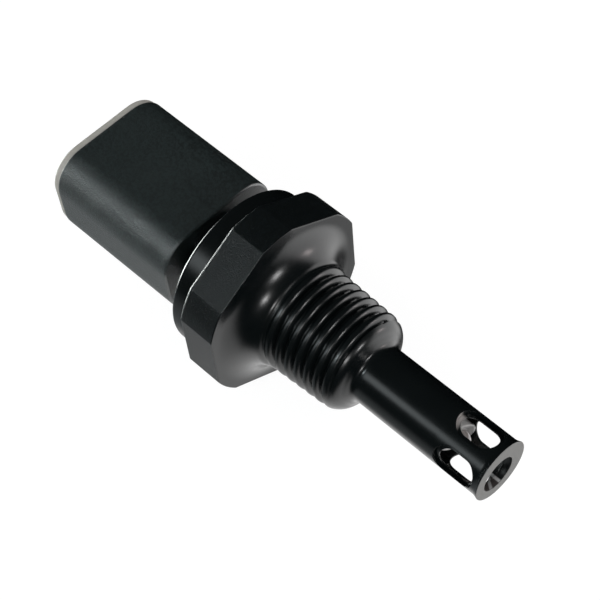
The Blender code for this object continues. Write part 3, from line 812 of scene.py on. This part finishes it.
@dataclass
class Cage:
    """The tube's end: four round-ended windows between ribs, each window stepping inwards."""

    radius: float = 3.93 * MM
    bore: float = 3.22 * MM
    rear: float = 26.9 * MM
    window_rear: float = 27.47 * MM
    window_front: float = 33.3 * MM
    window_width: float = 4.34 * MM
    ledge: float = 0.57 * MM
    front_ledge: float = 0.32 * MM
    ledge_radius: float = 3.44 * MM
    front: float = 33.46 * MM
    inner_front: float = 33.3 * MM
    edge: float = 0.05 * MM
    end_turn: float = math.radians(48.0)
    first_rib: float = math.radians(30.0)
    count: int = 4
    across_steps: int = 72
    along_steps: int = 44

    def slot_outline(self, offset: float) -> Array:
        """Points (across, x) of the window's outline grown by an offset, matched to the sector's border.

        Args:
            offset: how far the outline is moved outwards.

        Returns:
            The points, one in each row.
        """
        reach = self.window_width / 2 + offset
        low = self.window_rear + self.window_width / 2
        high = self.window_front - self.window_width / 2
        if offset < 0.0:
            high -= offset * (1.0 - self.front_ledge / self.ledge)
        end = np.linspace(-self.end_turn, self.end_turn, self.across_steps + 1)[:-1]
        bend = reach * (math.pi / 2 - self.end_turn)
        walked = np.linspace(0.0, 2 * bend + high - low, self.along_steps + 1)[:-1]
        straight = np.clip(walked - bend, 0.0, high - low)
        turn = np.concatenate([end, self.end_turn + (walked - straight) / reach])
        straight = np.concatenate([np.zeros(len(end)), straight])
        half = np.stack([reach * np.sin(turn), high - straight + reach * np.cos(turn)], 1)
        other = np.stack([-half[:, 0], low + high - half[:, 1]], 1)
        return np.vstack([half, other])

    def border(self, front: float) -> Array:
        """Points (angle, x) of the sector's border, in the order of the window's outline.

        Args:
            front: where the sector ends.

        Returns:
            The points, one in each row.
        """
        half = math.pi / self.count
        angles = np.linspace(-half, half, self.across_steps + 1)
        places = np.linspace(front, self.rear, self.along_steps + 1)
        top = np.stack([angles[:-1], np.full(self.across_steps, front)], 1)
        right = np.stack([np.full(self.along_steps, half), places[:-1]], 1)
        bottom = np.stack([angles[::-1][:-1], np.full(self.across_steps, self.rear)], 1)
        left = np.stack([np.full(self.along_steps, -half), places[::-1][:-1]], 1)
        return np.vstack([top, right, bottom, left])

    def on_wall(self, offset: float, radius: float) -> Array:
        """Points (angle, x) of the window's outline, grown by an offset, on a wall of the given radius."""
        outline = self.slot_outline(offset)
        return np.stack([np.arcsin(outline[:, 0] / radius), outline[:, 1]], 1)

    def wall_rows(self, offset: float, radius: float, front: float, shares: Sequence[float]) -> list[Array]:
        """Rows over a wall round one window.

        Args:
            offset: how much larger the window is there than its nominal outline.
            radius: the wall's radius.
            front: where the wall ends.
            shares: how far each row has gone from the window to the sector's border.

        Returns:
            The rows.
        """
        start = self.on_wall(offset, radius)
        way = self.border(front) - start
        places = [start + way * share for share in shares]
        return [turned(place[:, 1], radius, place[:, 0]) for place in places]

    def sector(self) -> bpy.types.Mesh:
        """One window with half a rib on each side, its middle at angle 0.

        Returns:
            The sector's mesh.
        """
        rows = self.wall_rows(self.edge, self.radius, self.front, (1.0, 0.72, 0.45, 0.22, 0.08, 0.0))
        rows += self.edge_rows(self.radius, 0.0)
        for offset in (0.0, -self.ledge):
            line = self.on_wall(offset, self.ledge_radius)
            rows.append(turned(line[:, 1], self.ledge_radius, line[:, 0]))
        rows += self.edge_rows(self.bore, -self.ledge)[::-1]
        rows += self.wall_rows(self.edge - self.ledge, self.bore, self.inner_front, (0.0, 0.4, 1.0))
        return skin_of(rows, "cage_sector")

    def edge_rows(self, radius: float, offset: float) -> list[Array]:
        """Rows of the small rounding where a window's wall meets the tube's outside or its bore.

        Args:
            radius: radius of the surface that the wall meets.
            offset: how much larger the window is there than its nominal outline.

        Returns:
            Rows from the surface to the wall.
        """
        outside = self.slot_outline(offset + self.edge)
        wall = self.slot_outline(offset)
        top = np.sqrt(radius**2 - outside[:, 0] ** 2)
        corner = np.sqrt(radius**2 - wall[:, 0] ** 2)
        low = corner - self.edge if radius == self.radius else corner + self.edge
        rows = []
        for t in (0.3, 0.65, 1.0):
            line = (1 - t) ** 2 * outside + (1 - (1 - t) ** 2) * wall
            out = (1 - t) ** 2 * top + 2 * t * (1 - t) * corner + t**2 * low
            rows.append(np.stack([line[:, 1], -line[:, 0], out], 1))
        return rows

    def recipe(self, finish: Finish) -> Recipe:
        """The tree that repeats a sector round the X axis and welds the copies.

        Args:
            finish: the finish of the result.

        Returns:
            The tree, its inputs filled in.
        """
        middle = self.first_rib + math.pi / self.count
        values = {"Count": self.count, "First Angle": middle, "Weld": Surface.WELD}
        recipe = Recipe("repeat_round_axis", {**values, "Material": finish.material()})
        get = recipe.value
        line = {"Count": get("Count"), "Offset": (0.0, 0.0, 0.0)}
        spots = recipe.node("GeometryNodeMeshLine", {"mode": "OFFSET"}, line)
        number = recipe.node("GeometryNodeInputIndex")
        angle = get("First Angle") + number * (2 * math.pi) / get("Count")
        turn = recipe.node("FunctionNodeEulerToRotation", {}, {0: recipe.join(angle, 0.0, 0.0)})
        inputs = {"Points": spots, "Instance": get("Geometry"), "Rotation": turn}
        copies = recipe.node("GeometryNodeInstanceOnPoints", {}, inputs)
        whole = recipe.node("GeometryNodeRealizeInstances", {}, {0: copies})
        welded = {"Geometry": whole, "Distance": get("Weld")}
        recipe.close(recipe.node("GeometryNodeMergeByDistance", {}, welded))
        return recipe

    def mesh(self, finish: Finish) -> bpy.types.Mesh:
        """All windows and ribs."""
        return self.recipe(finish).run(self.sector(), "cage")


@dataclass
class ProbeMoulding:
    """Cage tip, tube, nose, thread, hexagon, flange and spigot in one moulding."""

    thread: Thread
    cage: Cage
    columns: int = 288
    thread_row: float = 0.09 * MM
    tip: float = 34.32 * MM
    lip_radius: float = 4.13 * MM
    lip_land: float = 0.12 * MM
    hole_radius: float = 2.4 * MM
    hole_shift: tuple[float, float, float] = (0.0, -0.33 * MM, -0.25 * MM)
    fillet: float = 4.6 * MM
    flats: float = 24.0 * MM
    corner_radius: float = 12.74 * MM
    flat_edge: float = 0.03 * MM
    border: float = 0.05 * MM
    front_edge: float = 0.1 * MM
    rear_edge: float = 0.42 * MM
    hexagon_rear: float = -5.54 * MM
    flange_radius: float = 11.14 * MM
    flange_rear: float = -8.63 * MM
    flange_rounding: float = 0.55 * MM
    neck_radius: float = 5.7 * MM
    neck_rear: float = -11.97 * MM
    spigot_radius: float = 4.6 * MM
    spigot_rear: float = -16.27 * MM
    seal_groove: tuple[float, float, float] = (-14.12 * MM, -15.42 * MM, 3.65 * MM)
    spigot_chamfer: float = 0.3 * MM
    foot_fillet: float = 0.14 * MM
    steep: float = 2.2 * MM
    lip_edge: float = 0.1 * MM
    hole_edge: float = 0.06 * MM
    nose: tuple[Point, ...] = (
        (16.4, 3.93), (15.5, 3.95), (15.1, 4.08), (14.8, 4.35), (14.6, 4.75),
        (14.42, 5.1), (14.2, 5.6), (13.85, 6.05), (13.3, 6.45), (12.9, 6.62), (12.3, 6.74),
    )

    def even_angles(self) -> Array:
        """Column angles, evenly spaced from the first rib."""
        return self.cage.first_rib + 2 * math.pi * np.arange(self.columns) / self.columns

    def hexagon_angles(self) -> Array:
        """Column angles crowded at the edges where a flat meets a turned-off corner.

        Returns:
            The angles.
        """
        span = self.columns // 6
        half = span // 2
        edge = math.acos(self.flats / 2 / self.corner_radius)
        near = math.radians(1.0)
        knots = [0.0, edge - near, edge + near, math.pi / 6]
        rising = np.interp(np.arange(half + 1), [0, half / 3, 2 * half / 3, half], knots)
        sector = np.concatenate([rising, math.pi / 3 - rising[::-1][1:-1]])
        return np.concatenate([self.cage.first_rib + math.pi / 3 * k + sector for k in range(6)])

    def hexagon_radius(self, angles: Array) -> Array:
        """Outline of the hexagon with its corners turned off and the edges between slightly rounded.

        Args:
            angles: the columns' angles.

        Returns:
            The radius at each angle.
        """
        off_flat = (angles - self.cage.first_rib + math.pi / 6) % (math.pi / 3) - math.pi / 6
        flat = self.flats / 2 / np.cos(off_flat)
        share = np.clip(0.5 + 0.5 * (self.corner_radius - flat) / self.flat_edge, 0.0, 1.0)
        return self.corner_radius + (flat - self.corner_radius) * share - self.flat_edge * share * (1 - share)

    def front_rows(self) -> list[Array]:
        """Rows over the tube, nose, thread and face fillet, from the cage to the hexagon's face.

        Returns:
            The rows.
        """
        even, crowded = self.even_angles(), self.hexagon_angles()
        nose_front, nose_rear = self.nose[0][0] * MM, self.nose[-1][0] * MM
        places = [(x, self.cage.radius) for x in np.linspace(self.cage.rear, nose_front, 8)[:-1]]
        places += [(x * MM, radius * MM) for x, radius in smooth_line(self.nose, 44)]
        count = math.ceil((nose_rear - self.fillet) / self.thread_row)
        places += [(x, self.thread.radius(x)) for x in np.linspace(nose_rear, self.fillet, count + 1)[1:]]
        centre = self.thread.radius(self.fillet) + self.fillet
        count = math.ceil((self.fillet - self.steep) / self.thread_row)
        for x in np.linspace(self.fillet, self.steep, count + 1)[1:]:
            places.append((x, centre - math.sqrt(self.fillet**2 - (self.fillet - x) ** 2)))
        rows = [turned(x, radius, even) for x, radius in places]
        begin = math.degrees(math.asin((self.fillet - self.steep) / self.fillet))
        bend = arc((self.fillet, centre), -self.fillet, begin, 90.0, 16)[1:]
        for i, (x, radius) in enumerate(bend):
            share = (i + 1) / len(bend)
            rows.append(turned(x, radius, even + (crowded - even) * share))
        return rows

    def hexagon_rows(self) -> list[Array]:
        """Rows over the hexagon's edges and sides.

        Returns:
            The rows.
        """
        angles = self.hexagon_angles()
        outline = self.hexagon_radius(angles)
        front, rear = self.front_edge, self.rear_edge
        ends = (-front - self.border, self.hexagon_rear + rear + self.border)
        lines = [(0.0, front + self.border)]
        lines += [(-back, inset) for back, inset in quarter(front, 4)]
        lines += [(x, 0.0) for x in np.linspace(*ends, 4)]
        lines += [(self.hexagon_rear + ahead, inset) for inset, ahead in quarter(rear, 4)]
        lines.append((self.hexagon_rear, rear + self.border))
        return [turned(x, outline - inset, angles) for x, inset in lines]

    def rear_rows(self) -> list[Array]:
        """Rows over the flange, neck, spigot and bore, ending at the cage's inner border.

        Returns:
            The rows.
        """
        crowded, even = self.hexagon_angles(), self.even_angles()
        root, rounding = self.foot_fillet, self.flange_rounding
        flange = arc((self.hexagon_rear - root, self.flange_radius + root), -root, -90.0, 0.0, 3)
        edge = arc((self.flange_rear + rounding, self.flange_radius - rounding), rounding, 0.0, -90.0, 6)
        foot = arc((self.flange_rear - root, self.neck_radius + root), -root, -90.0, 0.0, 3)
        side = [(x, self.flange_radius) for x in (flange[-1][0] - self.border, edge[0][0] + self.border)]
        back = [(self.flange_rear, out) for out in (edge[-1][1] - self.border, foot[0][1] + self.border)]
        rows = [turned(x, radius, crowded) for x, radius in flange + side + edge + back + foot]
        rows.append(turned(self.neck_rear, self.neck_radius, crowded))
        front, rear, floor = self.seal_groove
        out, chamfer = self.spigot_radius, self.spigot_chamfer
        places = [(self.neck_rear, out), (front, out), (front, floor), (rear, floor), (rear, out)]
        places += [(self.spigot_rear + chamfer, out), (self.spigot_rear, out - chamfer)]
        places += [(x, self.cage.bore) for x in np.linspace(self.spigot_rear, self.cage.rear, 7)]
        return rows + [turned(x, radius, even) for x, radius in places]

    def end_ring(self) -> bpy.types.Mesh:
        """The lip, end face and hole at the tip.

        Returns:
            The mesh.
        """
        even, cage = self.even_angles(), self.cage
        flare = self.lip_radius - cage.radius
        length = self.tip - self.lip_land - cage.front
        shares = np.linspace(0.0, 1.0, 9)
        lip = [(cage.front + length * share, cage.radius + flare * share**1.5) for share in shares]
        lip_edge, hole_edge = self.lip_edge, self.hole_edge
        edge = arc((self.tip - lip_edge, self.lip_radius - lip_edge), lip_edge, 0.0, 90.0, 4)
        hole = arc((self.tip - hole_edge, self.hole_radius + hole_edge), hole_edge, 90.0, 180.0, 3)
        edge.append((self.tip, edge[-1][1] - self.border))
        hole.insert(0, (self.tip, hole[0][1] + self.border))
        hole.append((cage.inner_front + self.border, self.hole_radius))
        hole.append((cage.inner_front, self.hole_radius + self.border))
        rows = [turned(x, radius, even) for x, radius in lip + edge]
        rows += [turned(x, radius, even) + np.array(self.hole_shift) for x, radius in hole]
        rows.append(turned(cage.inner_front, cage.bore, even))
        return skin_of(rows, "end_ring")

    def build(self) -> bpy.types.Mesh:
        """Builds the blank, cuts its thread and welds it to the cage and the end ring.

        Returns:
            The mesh.
        """
        blank = skin_of(self.front_rows() + self.hexagon_rows() + self.rear_rows(), "blank")
        bm = bmesh.new()
        for part in (self.thread.cut(blank, GLOSS_BLACK), self.cage.mesh(GLOSS_BLACK), self.end_ring()):
            bm.from_mesh(part)
        whole = bpy.data.meshes.new("probe_moulding")
        bm.to_mesh(whole)
        bm.free()
        weld(whole, Surface.WELD)
        return whole

    def dress(self) -> None:
        """Adds the piece to the sensor."""
        dress("probe_moulding", self.build(), GLOSS_BLACK, "probe_body", crease=50.0)


@dataclass
class Outline:
    """Rounded rectangle across the connector, width along Y and depth along Z."""

    width: float = 17.9 * MM
    depth: float = 13.44 * MM
    corner: float = 4.54 * MM
    offset: float = 0.54 * MM
    corner_steps: int = 18
    side_steps: int = 8

    def ring(self, x: float, inset: float = 0.0) -> Array:
        """Points of the connector's outline.

        Args:
            x: the place along the axis.
            inset: how far the outline is drawn in.

        Returns:
            The points, one in each row.
        """
        radius = self.corner - inset
        half_y = self.width / 2 - self.corner
        half_z = self.depth / 2 - self.corner
        middles = ((half_y, half_z), (-half_y, half_z), (-half_y, -half_z), (half_y, -half_z))
        bend = np.linspace(0.0, math.pi / 2, self.corner_steps + 1)
        points = []
        for number, (y, z) in enumerate(middles):
            for turn in bend + number * math.pi / 2:
                points.append((y + radius * math.cos(turn), z + radius * math.sin(turn)))
            next_y, next_z = middles[(number + 1) % 4]
            leaving = np.array(points[-1])
            arrival = np.array([next_y + radius * math.cos(turn), next_z + radius * math.sin(turn)])
            for share in np.linspace(0.0, 1.0, self.side_steps + 1)[1:-1]:
                points.append(tuple(leaving + (arrival - leaving) * share))
        flat = np.array(points)
        return np.stack([np.full(len(flat), x), flat[:, 0] + self.offset, flat[:, 1]], 1)

    def circle(self, x: float, radius: float) -> Array:
        """A circle round the thread's axis whose points match the outline's.

        Args:
            x: the place along the axis.
            radius: the circle's radius.

        Returns:
            The points, one in each row.
        """
        ring = self.ring(x)
        angles = np.arctan2(ring[:, 2], ring[:, 1])
        return np.stack([np.full(len(ring), x), radius * np.cos(angles), radius * np.sin(angles)], 1)


@dataclass
class ConnectorShell:
    """Satin black cup behind the flange, slightly wider at its open end."""

    outline: Outline
    front: float = -12.27 * MM
    rear: float = -32.53 * MM
    wall: float = 1.3 * MM
    floor: float = 1.4 * MM
    base_rounding: float = 0.32 * MM
    end_rounding: float = 0.12 * MM
    draft: float = 0.12 * MM
    hole_radius: float = 4.9 * MM
    border: float = 0.05 * MM

    def growth(self, x: float) -> float:
        """How much the draft adds on each side at a place along the axis."""
        return self.draft * (self.front - x) / (self.front - self.rear)

    def outer(self, x: float, inset: float = 0.0) -> Array:
        """The outer outline at a place along the axis."""
        return self.outline.ring(x, inset - self.growth(x))

    def build(self) -> bpy.types.Mesh:
        """Builds the cup's outside, end, inside and holed floor.

        Returns:
            The mesh.
        """
        inner_floor = self.front - self.floor
        hole = self.outline.circle(self.front, self.hole_radius)
        rows = [hole, self.outer(self.front, self.base_rounding + self.border)]
        rows += [self.outer(self.front - back, inset) for back, inset in quarter(self.base_rounding, 6)]
        start, end = self.front - self.base_rounding, self.rear + self.end_rounding
        rows += [self.outer(x) for x in np.linspace(start - self.border, end + self.border, 8)]
        rows.append(self.outer(end))
        rows += [self.outer(self.rear + ahead, inset) for inset, ahead in quarter(self.end_rounding, 3)[1:]]
        rows += [self.outline.ring(x, self.wall) for x in np.linspace(self.rear, inner_floor, 5)]
        rows += [self.outline.circle(inner_floor, self.hole_radius), hole]
        return skin_of(rows, "shell_moulding")

    def dress(self) -> None:
        """Adds the piece to the sensor."""
        dress("shell_moulding", self.build(), SATIN_BLACK, "connector_shell", crease=30.0)


@dataclass
class ConnectorLiner:
    """Pale inner moulding whose rim covers the shell's end and whose bottom seals on the spigot."""

    outline: Outline
    rim_front: float = -32.55 * MM
    rim_rear: float = -33.63 * MM
    rim_inset: float = 0.02 * MM
    rounding: float = 0.4 * MM
    seat: float = 1.6 * MM
    wall: float = 1.2 * MM
    front: float = -13.97 * MM
    base: float = 1.6 * MM
    mouth_lead: float = 0.35 * MM
    hole_radius: float = 4.9 * MM
    front_chamfer: float = 0.2 * MM
    rim_edge: float = 0.06 * MM

    def build(self) -> bpy.types.Mesh:
        """Builds the rim, the sleeve inside the shell and the holed bottom.

        Returns:
            The mesh.
        """
        ring = self.outline.ring
        inner, lead = self.seat + self.wall, self.mouth_lead
        floor = self.front - self.base
        hole = self.outline.circle(self.front, self.hole_radius)
        rows = [hole, ring(self.front, self.seat + self.front_chamfer)]
        rows += [ring(self.front - self.front_chamfer, self.seat), ring(self.rim_front, self.seat)]
        rows.append(ring(self.rim_front, self.rim_inset + self.rim_edge))
        rows.append(ring(self.rim_front - self.rim_edge, self.rim_inset))
        for inset, ahead in quarter(self.rounding, 7):
            rows.append(ring(self.rim_rear + ahead, self.rim_inset + inset))
        rows += [ring(self.rim_rear + ahead, inner - outward) for ahead, outward in quarter(lead, 4)]
        rows += [ring(x, inner) for x in np.linspace(self.rim_rear + 2 * lead, floor, 5)]
        rows += [self.outline.circle(floor, self.hole_radius), hole]
        return skin_of(rows, "liner_moulding")

    def dress(self) -> None:
        """Adds the piece to the sensor."""
        dress("liner_moulding", self.build(), PALE_GREY, "connector_liner", crease=40.0)


@dataclass
class Sensing:
    """Resin at the bottom of the cage, and the bead on the ends of the leads."""

    bore: float = 3.19 * MM
    resin_top: float = 27.9 * MM
    resin_slant: float = 0.75 * MM
    resin_shoulder: float = 25.6 * MM
    plug_radius: float = 2.34 * MM
    high_side: float = math.radians(280.0)
    resin_rear: float = 22.2 * MM
    unevenness: float = 0.03 * MM
    bead_rear: float = 27.0 * MM
    bead_tip: float = 29.55 * MM
    bead_radius: float = 1.36 * MM
    bead_turn: float = math.radians(128.0)
    columns: int = 96

    def angles(self) -> Array:
        """The columns' angles."""
        return np.linspace(0.0, 2 * math.pi, self.columns, endpoint=False)

    def swell(self, amount: float, seed: float) -> Array:
        """A gentle unevenness round the axis, for shapes that were poured.

        Args:
            amount: its height.
            seed: what sets its form.

        Returns:
            The height at each column.
        """
        angles = self.angles()
        coarse = np.sin(2 * angles + seed) + 0.6 * np.sin(3 * angles + 2.1 * seed)
        return amount * (coarse + 0.3 * np.sin(5 * angles - seed))

    def resin(self) -> None:
        """The resin: a plug whose slanting top stands a little clear of the bore's wall."""
        lean = np.cos(self.angles() - self.high_side)
        places = []
        for share in (0.16, 0.32, 0.48, 0.64, 0.78, 0.88, 0.94):
            wave = self.swell(self.unevenness, 0.7 + 2.0 * share) * (0.4 + share)
            places.append((self.resin_top + self.resin_slant * share * lean + wave, self.plug_radius * share))
        rim = self.resin_top + self.resin_slant * lean + self.swell(self.unevenness, 2.7)
        places += [(rim - 0.06 * MM, self.plug_radius * 0.985), (rim - 0.2 * MM, self.plug_radius)]
        places.append((self.resin_shoulder + 0.2 * MM, self.plug_radius))
        places += [(self.resin_shoulder, out) for out in (self.plug_radius + 0.15 * MM, self.bore)]
        places += [(self.resin_rear, self.bore), (self.resin_rear, self.bore * 0.5)]
        mesh = self.poured(places, (self.resin_top, self.resin_rear), "cage_resin")
        dress("cage_resin", mesh, RESIN, "tip_potting")

    def bead(self) -> None:
        """The drop-shaped bead."""
        places = []
        length = self.bead_tip - self.bead_rear
        for share in np.linspace(0.06, 1.0, 22):
            turn = share * self.bead_turn
            x = self.bead_tip - length * (1.0 - math.cos(turn)) / (1.0 - math.cos(self.bead_turn))
            wave = 1.0 + self.swell(0.018, 1.3 + share)
            places.append((x, self.bead_radius * math.sin(turn) ** 0.85 * wave))
        mesh = self.poured(places, (self.bead_tip, self.bead_rear), "sensing_bead")
        dress("sensing_bead", mesh, BEAD_EPOXY, "thermistor_bead")

    def poured(self, places: Sequence[Place], ends: Point, name: str) -> bpy.types.Mesh:
        """A round mesh that is closed at both ends.

        Args:
            places: x and radius of each row, either of them a number or one for each column.
            ends: x of the first and of the last pole.
            name: the mesh's name.

        Returns:
            The mesh.
        """
        rows = [turned(x, radius, self.angles()) for x, radius in places]
        surface = Surface()
        surface.pole(rows[0], (ends[0], 0.0, 0.0))
        surface.grid(rows)
        surface.pole(rows[-1], (ends[1], 0.0, 0.0))
        return surface.mesh(name)


@dataclass
class Softened:
    """A CAD piece shown with its own form, its edges rounded a little."""

    node: str
    name: str
    finish: Finish
    edge: float = 0.08 * MM
    segments: int = 2
    flatness: float = math.radians(1.0)
    sharpness: float = math.radians(40.0)

    def dress(self) -> None:
        """Merges a copy of the CAD mesh, rounds its edges and adds it to the sensor."""
        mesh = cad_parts[self.node].data.copy()
        weld(mesh, Surface.WELD)
        bm = bmesh.new()
        bm.from_mesh(mesh)
        bmesh.ops.dissolve_limit(bm, angle_limit=self.flatness, verts=bm.verts, edges=bm.edges)
        bm.to_mesh(mesh)
        bm.free()
        obj = new_object(f"{self.name}_raw", mesh)
        bevel = obj.modifiers.new("edges", "BEVEL")
        bevel.width = self.edge
        bevel.segments = self.segments
        bevel.limit_method = "ANGLE"
        bevel.angle_limit = self.sharpness
        dress(self.name, evaluated(obj, self.name), self.finish, self.node)


@dataclass
class Inside:
    """Pieces in the connector and along the bore, most of them seen only from behind."""

    edge: float = 0.1 * MM

    def dress(self) -> None:
        """Rounds the contacts and their carrier and finishes the pieces that keep their CAD form."""
        for side, finish in (("left", CONTACT), ("right", CONTACT), ("carrier", CARRIER)):
            Softened(f"terminal_{side}", f"contact_{side}", finish, self.edge).dress()
        kept = {
            "lead_left": LEAD, "lead_right": LEAD, "sleeve_left": SLEEVE, "sleeve_right": SLEEVE,
            "rear_potting": RESIN, "neck_seal_ring": RUBBER,
        }
        for node, finish in kept.items():
            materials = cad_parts[node].data.materials
            materials.clear()
            materials.append(finish.material())
            LOG.info("%s: CAD form with finish %s", node, finish.slot)


@dataclass(frozen=True)
class Lamp:
    """A square soft light aimed at the sensor."""

    name: str
    azimuth: float
    elevation: float
    distance: float
    size: float
    radiance: float
    tint: Colour = (1.0, 1.0, 1.0)
    aim: tuple[float, float, float] = (0.004, 0.0, 0.0)

    def place(self) -> None:
        """Hangs the lamp, its azimuth in degrees from +X towards +Y."""
        light = bpy.data.lights.new(self.name, "AREA")
        light.shape = "SQUARE"
        light.size = self.size
        light.energy = self.radiance * math.pi * self.size**2
        light.color = self.tint
        obj = new_object(self.name, light)
        turn, lift = math.radians(self.azimuth), math.radians(self.elevation)
        away = np.array([math.cos(lift) * math.cos(turn), math.cos(lift) * math.sin(turn), math.sin(lift)])
        obj.location = tuple(np.array(self.aim) + self.distance * away)
        obj.rotation_euler = (math.pi / 2 - lift, 0.0, turn + math.pi / 2)


@dataclass(frozen=True)
class Card:
    """A soft bright region of the room that glossy surfaces mirror: a cone, its angles in degrees."""

    towards: tuple[float, float, float]
    edge: float
    core: float
    brightness: float
    tint: Colour = (1.0, 1.0, 1.0)

    def glow(self, graph: Graph, direction: Val) -> Val:
        """The card's light in a direction, which rises from its edge to its core.

        Args:
            graph: the world's nodes.
            direction: where a ray goes.

        Returns:
            The light's colour.
        """
        axis = np.array(self.towards) / np.linalg.norm(self.towards)
        facing = graph.vector("DOT_PRODUCT", direction, tuple(axis), output="Value")
        edge, core = math.cos(math.radians(self.edge)), math.cos(math.radians(self.core))
        return graph.vector("SCALE", self.tint, graph.rise(facing, edge, core) * self.brightness)


@dataclass
class Studio:
    """Pale floor, soft lamps, dim room and the camera."""

    floor_height: float = -12.77 * MM
    floor_size: float = 6.0
    floor_glow: float = 0.8
    floor_white: float = 1.16
    floor_colour: Colour = (0.86, 0.86, 0.86)
    room_light: float = 0.42
    camera_place: tuple[float, float, float] = (0.086594, -0.069070, 0.159850)
    camera_turn: tuple[float, float, float] = (34.5598, 3.9448, 44.8259)
    lens: float = 95.50
    sensor_width: float = 36.0
    lamps: tuple[Lamp, ...] = (
        Lamp("lamp_front", 8.0, 21.0, 0.6, 0.09, 22.0),
        Lamp("lamp_front_left", -29.0, 26.0, 0.6, 0.09, 22.0),
        Lamp("lamp_low_right", 50.0, 5.0, 0.6, 0.09, 7.0, (1.0, 0.86, 0.86)),
        Lamp("lamp_left", -88.0, 45.0, 0.6, 0.12, 13.0, (0.86, 0.97, 1.0)),
    )
    cards: tuple[Card, ...] = (
        Card((0.10, -0.10, -1.0), 44.0, 20.0, 1.2),
        Card((0.50, -0.05, -0.84), 36.0, 17.0, 1.08),
        Card((0.50, 0.80, -0.25), 42.0, 26.0, 2.0),
        Card((-0.44, -0.40, -0.80), 49.0, 25.0, 0.38, (0.91, 0.98, 1.0)),
        Card((-0.415, -0.708, 0.571), 14.5, 3.0, 2.5, (0.90, 0.98, 1.0)),
        Card((-0.30, -0.40, 0.87), 130.0, 20.0, 0.05, (0.85, 1.0, 1.0)),
        Card((-0.977, -0.151, -0.151), 22.0, 10.0, 22.0, (0.95, 1.0, 0.98)),
    )

    def seen(self, graph: Graph, *rays: Ray) -> Val:
        """A mask of the kinds of ray given.

        Args:
            graph: the nodes that need the mask.
            rays: the kinds of ray.

        Returns:
            The mask.
        """
        path = graph.node("ShaderNodeLightPath").socket.node.outputs
        total = Val(graph, path[rays[0].value])
        for ray in rays[1:]:
            total = total.most(Val(graph, path[ray.value]))
        return total

    def floor(self) -> None:
        """Lays the floor, which shows white and keeps the sensor's shadow."""
        half = self.floor_size / 2
        mesh = bpy.data.meshes.new("floor")
        ends = ((-half, -half), (half, -half), (half, half), (-half, half))
        corners = [(x, y, self.floor_height) for x, y in ends]
        mesh.from_pydata(corners, [], [(0, 1, 2, 3)])
        material = bpy.data.materials.new("floor_paper")
        material.use_nodes = True
        graph = Graph(material.node_tree)
        graph.tree.nodes.clear()
        paper = graph.node("ShaderNodeBsdfDiffuse", {}, {"Color": (*self.floor_colour, 1.0)})
        glow = graph.node("ShaderNodeEmission", {}, {"Strength": self.floor_white})
        clear = graph.node("ShaderNodeBsdfTransparent")
        share = self.seen(graph, Ray.CAMERA, Ray.TRANSMISSION) * self.floor_glow
        lit = graph.node("ShaderNodeMixShader", {}, {0: share, 1: paper, 2: glow})
        mixed = graph.node("ShaderNodeMixShader", {}, {0: self.seen(graph, Ray.GLOSSY), 1: lit, 2: clear})
        graph.node("ShaderNodeOutputMaterial", {}, {"Surface": mixed})
        mesh.materials.append(material)
        new_object("floor", mesh)

    def room(self) -> None:
        """Sets the room: white where the camera looks past the floor, soft and dim on the sensor."""
        world = bpy.data.worlds.new("room")
        world.use_nodes = True
        bpy.context.scene.world = world
        graph = Graph(world.node_tree)
        graph.tree.nodes.clear()
        behind = self.seen(graph, Ray.CAMERA, Ray.TRANSMISSION)
        mirrored = self.seen(graph, Ray.GLOSSY)
        direction = graph.node("ShaderNodeTexCoord", {}, {}, "Generated")
        cards = self.cards[0].glow(graph, direction)
        for card in self.cards[1:]:
            cards = graph.vector("MAXIMUM", cards, card.glow(graph, direction))
        light = graph.blend(mirrored, (self.room_light,) * 3, cards)
        light = graph.blend(behind, light, (1.0, 1.0, 1.0))
        sky = graph.node("ShaderNodeBackground", {}, {"Color": light})
        graph.node("ShaderNodeOutputWorld", {}, {"Surface": sky})

    def camera(self) -> None:
        """Sets up the camera at the photograph's viewing angle."""
        data = bpy.data.cameras.new("camera")
        data.lens = self.lens
        data.sensor_width = self.sensor_width
        data.clip_start = 0.005
        camera = new_object("camera", data)
        camera.location = self.camera_place
        camera.rotation_euler = tuple(math.radians(angle) for angle in self.camera_turn)
        bpy.context.scene.camera = camera

    def build(self) -> None:
        """Sets up the whole studio."""
        self.floor()
        self.room()
        for lamp in self.lamps:
            lamp.place()
        self.camera()
        bpy.context.scene.view_settings.view_transform = "Standard"
        LOG.info("studio: %d lamps and %d cards", len(self.lamps), len(self.cards))


def main() -> None:
    """Builds the sensor piece by piece, then the studio."""
    logging.basicConfig(level=logging.INFO, format="%(message)s")
    Studio().build()
    ProbeMoulding(Thread(), Cage()).dress()
    outline = Outline()
    ConnectorShell(outline).dress()
    ConnectorLiner(outline).dress()
    sensing = Sensing()
    sensing.resin()
    sensing.bead()
    Inside().dress()


if __name__ == "__main__":
    main()
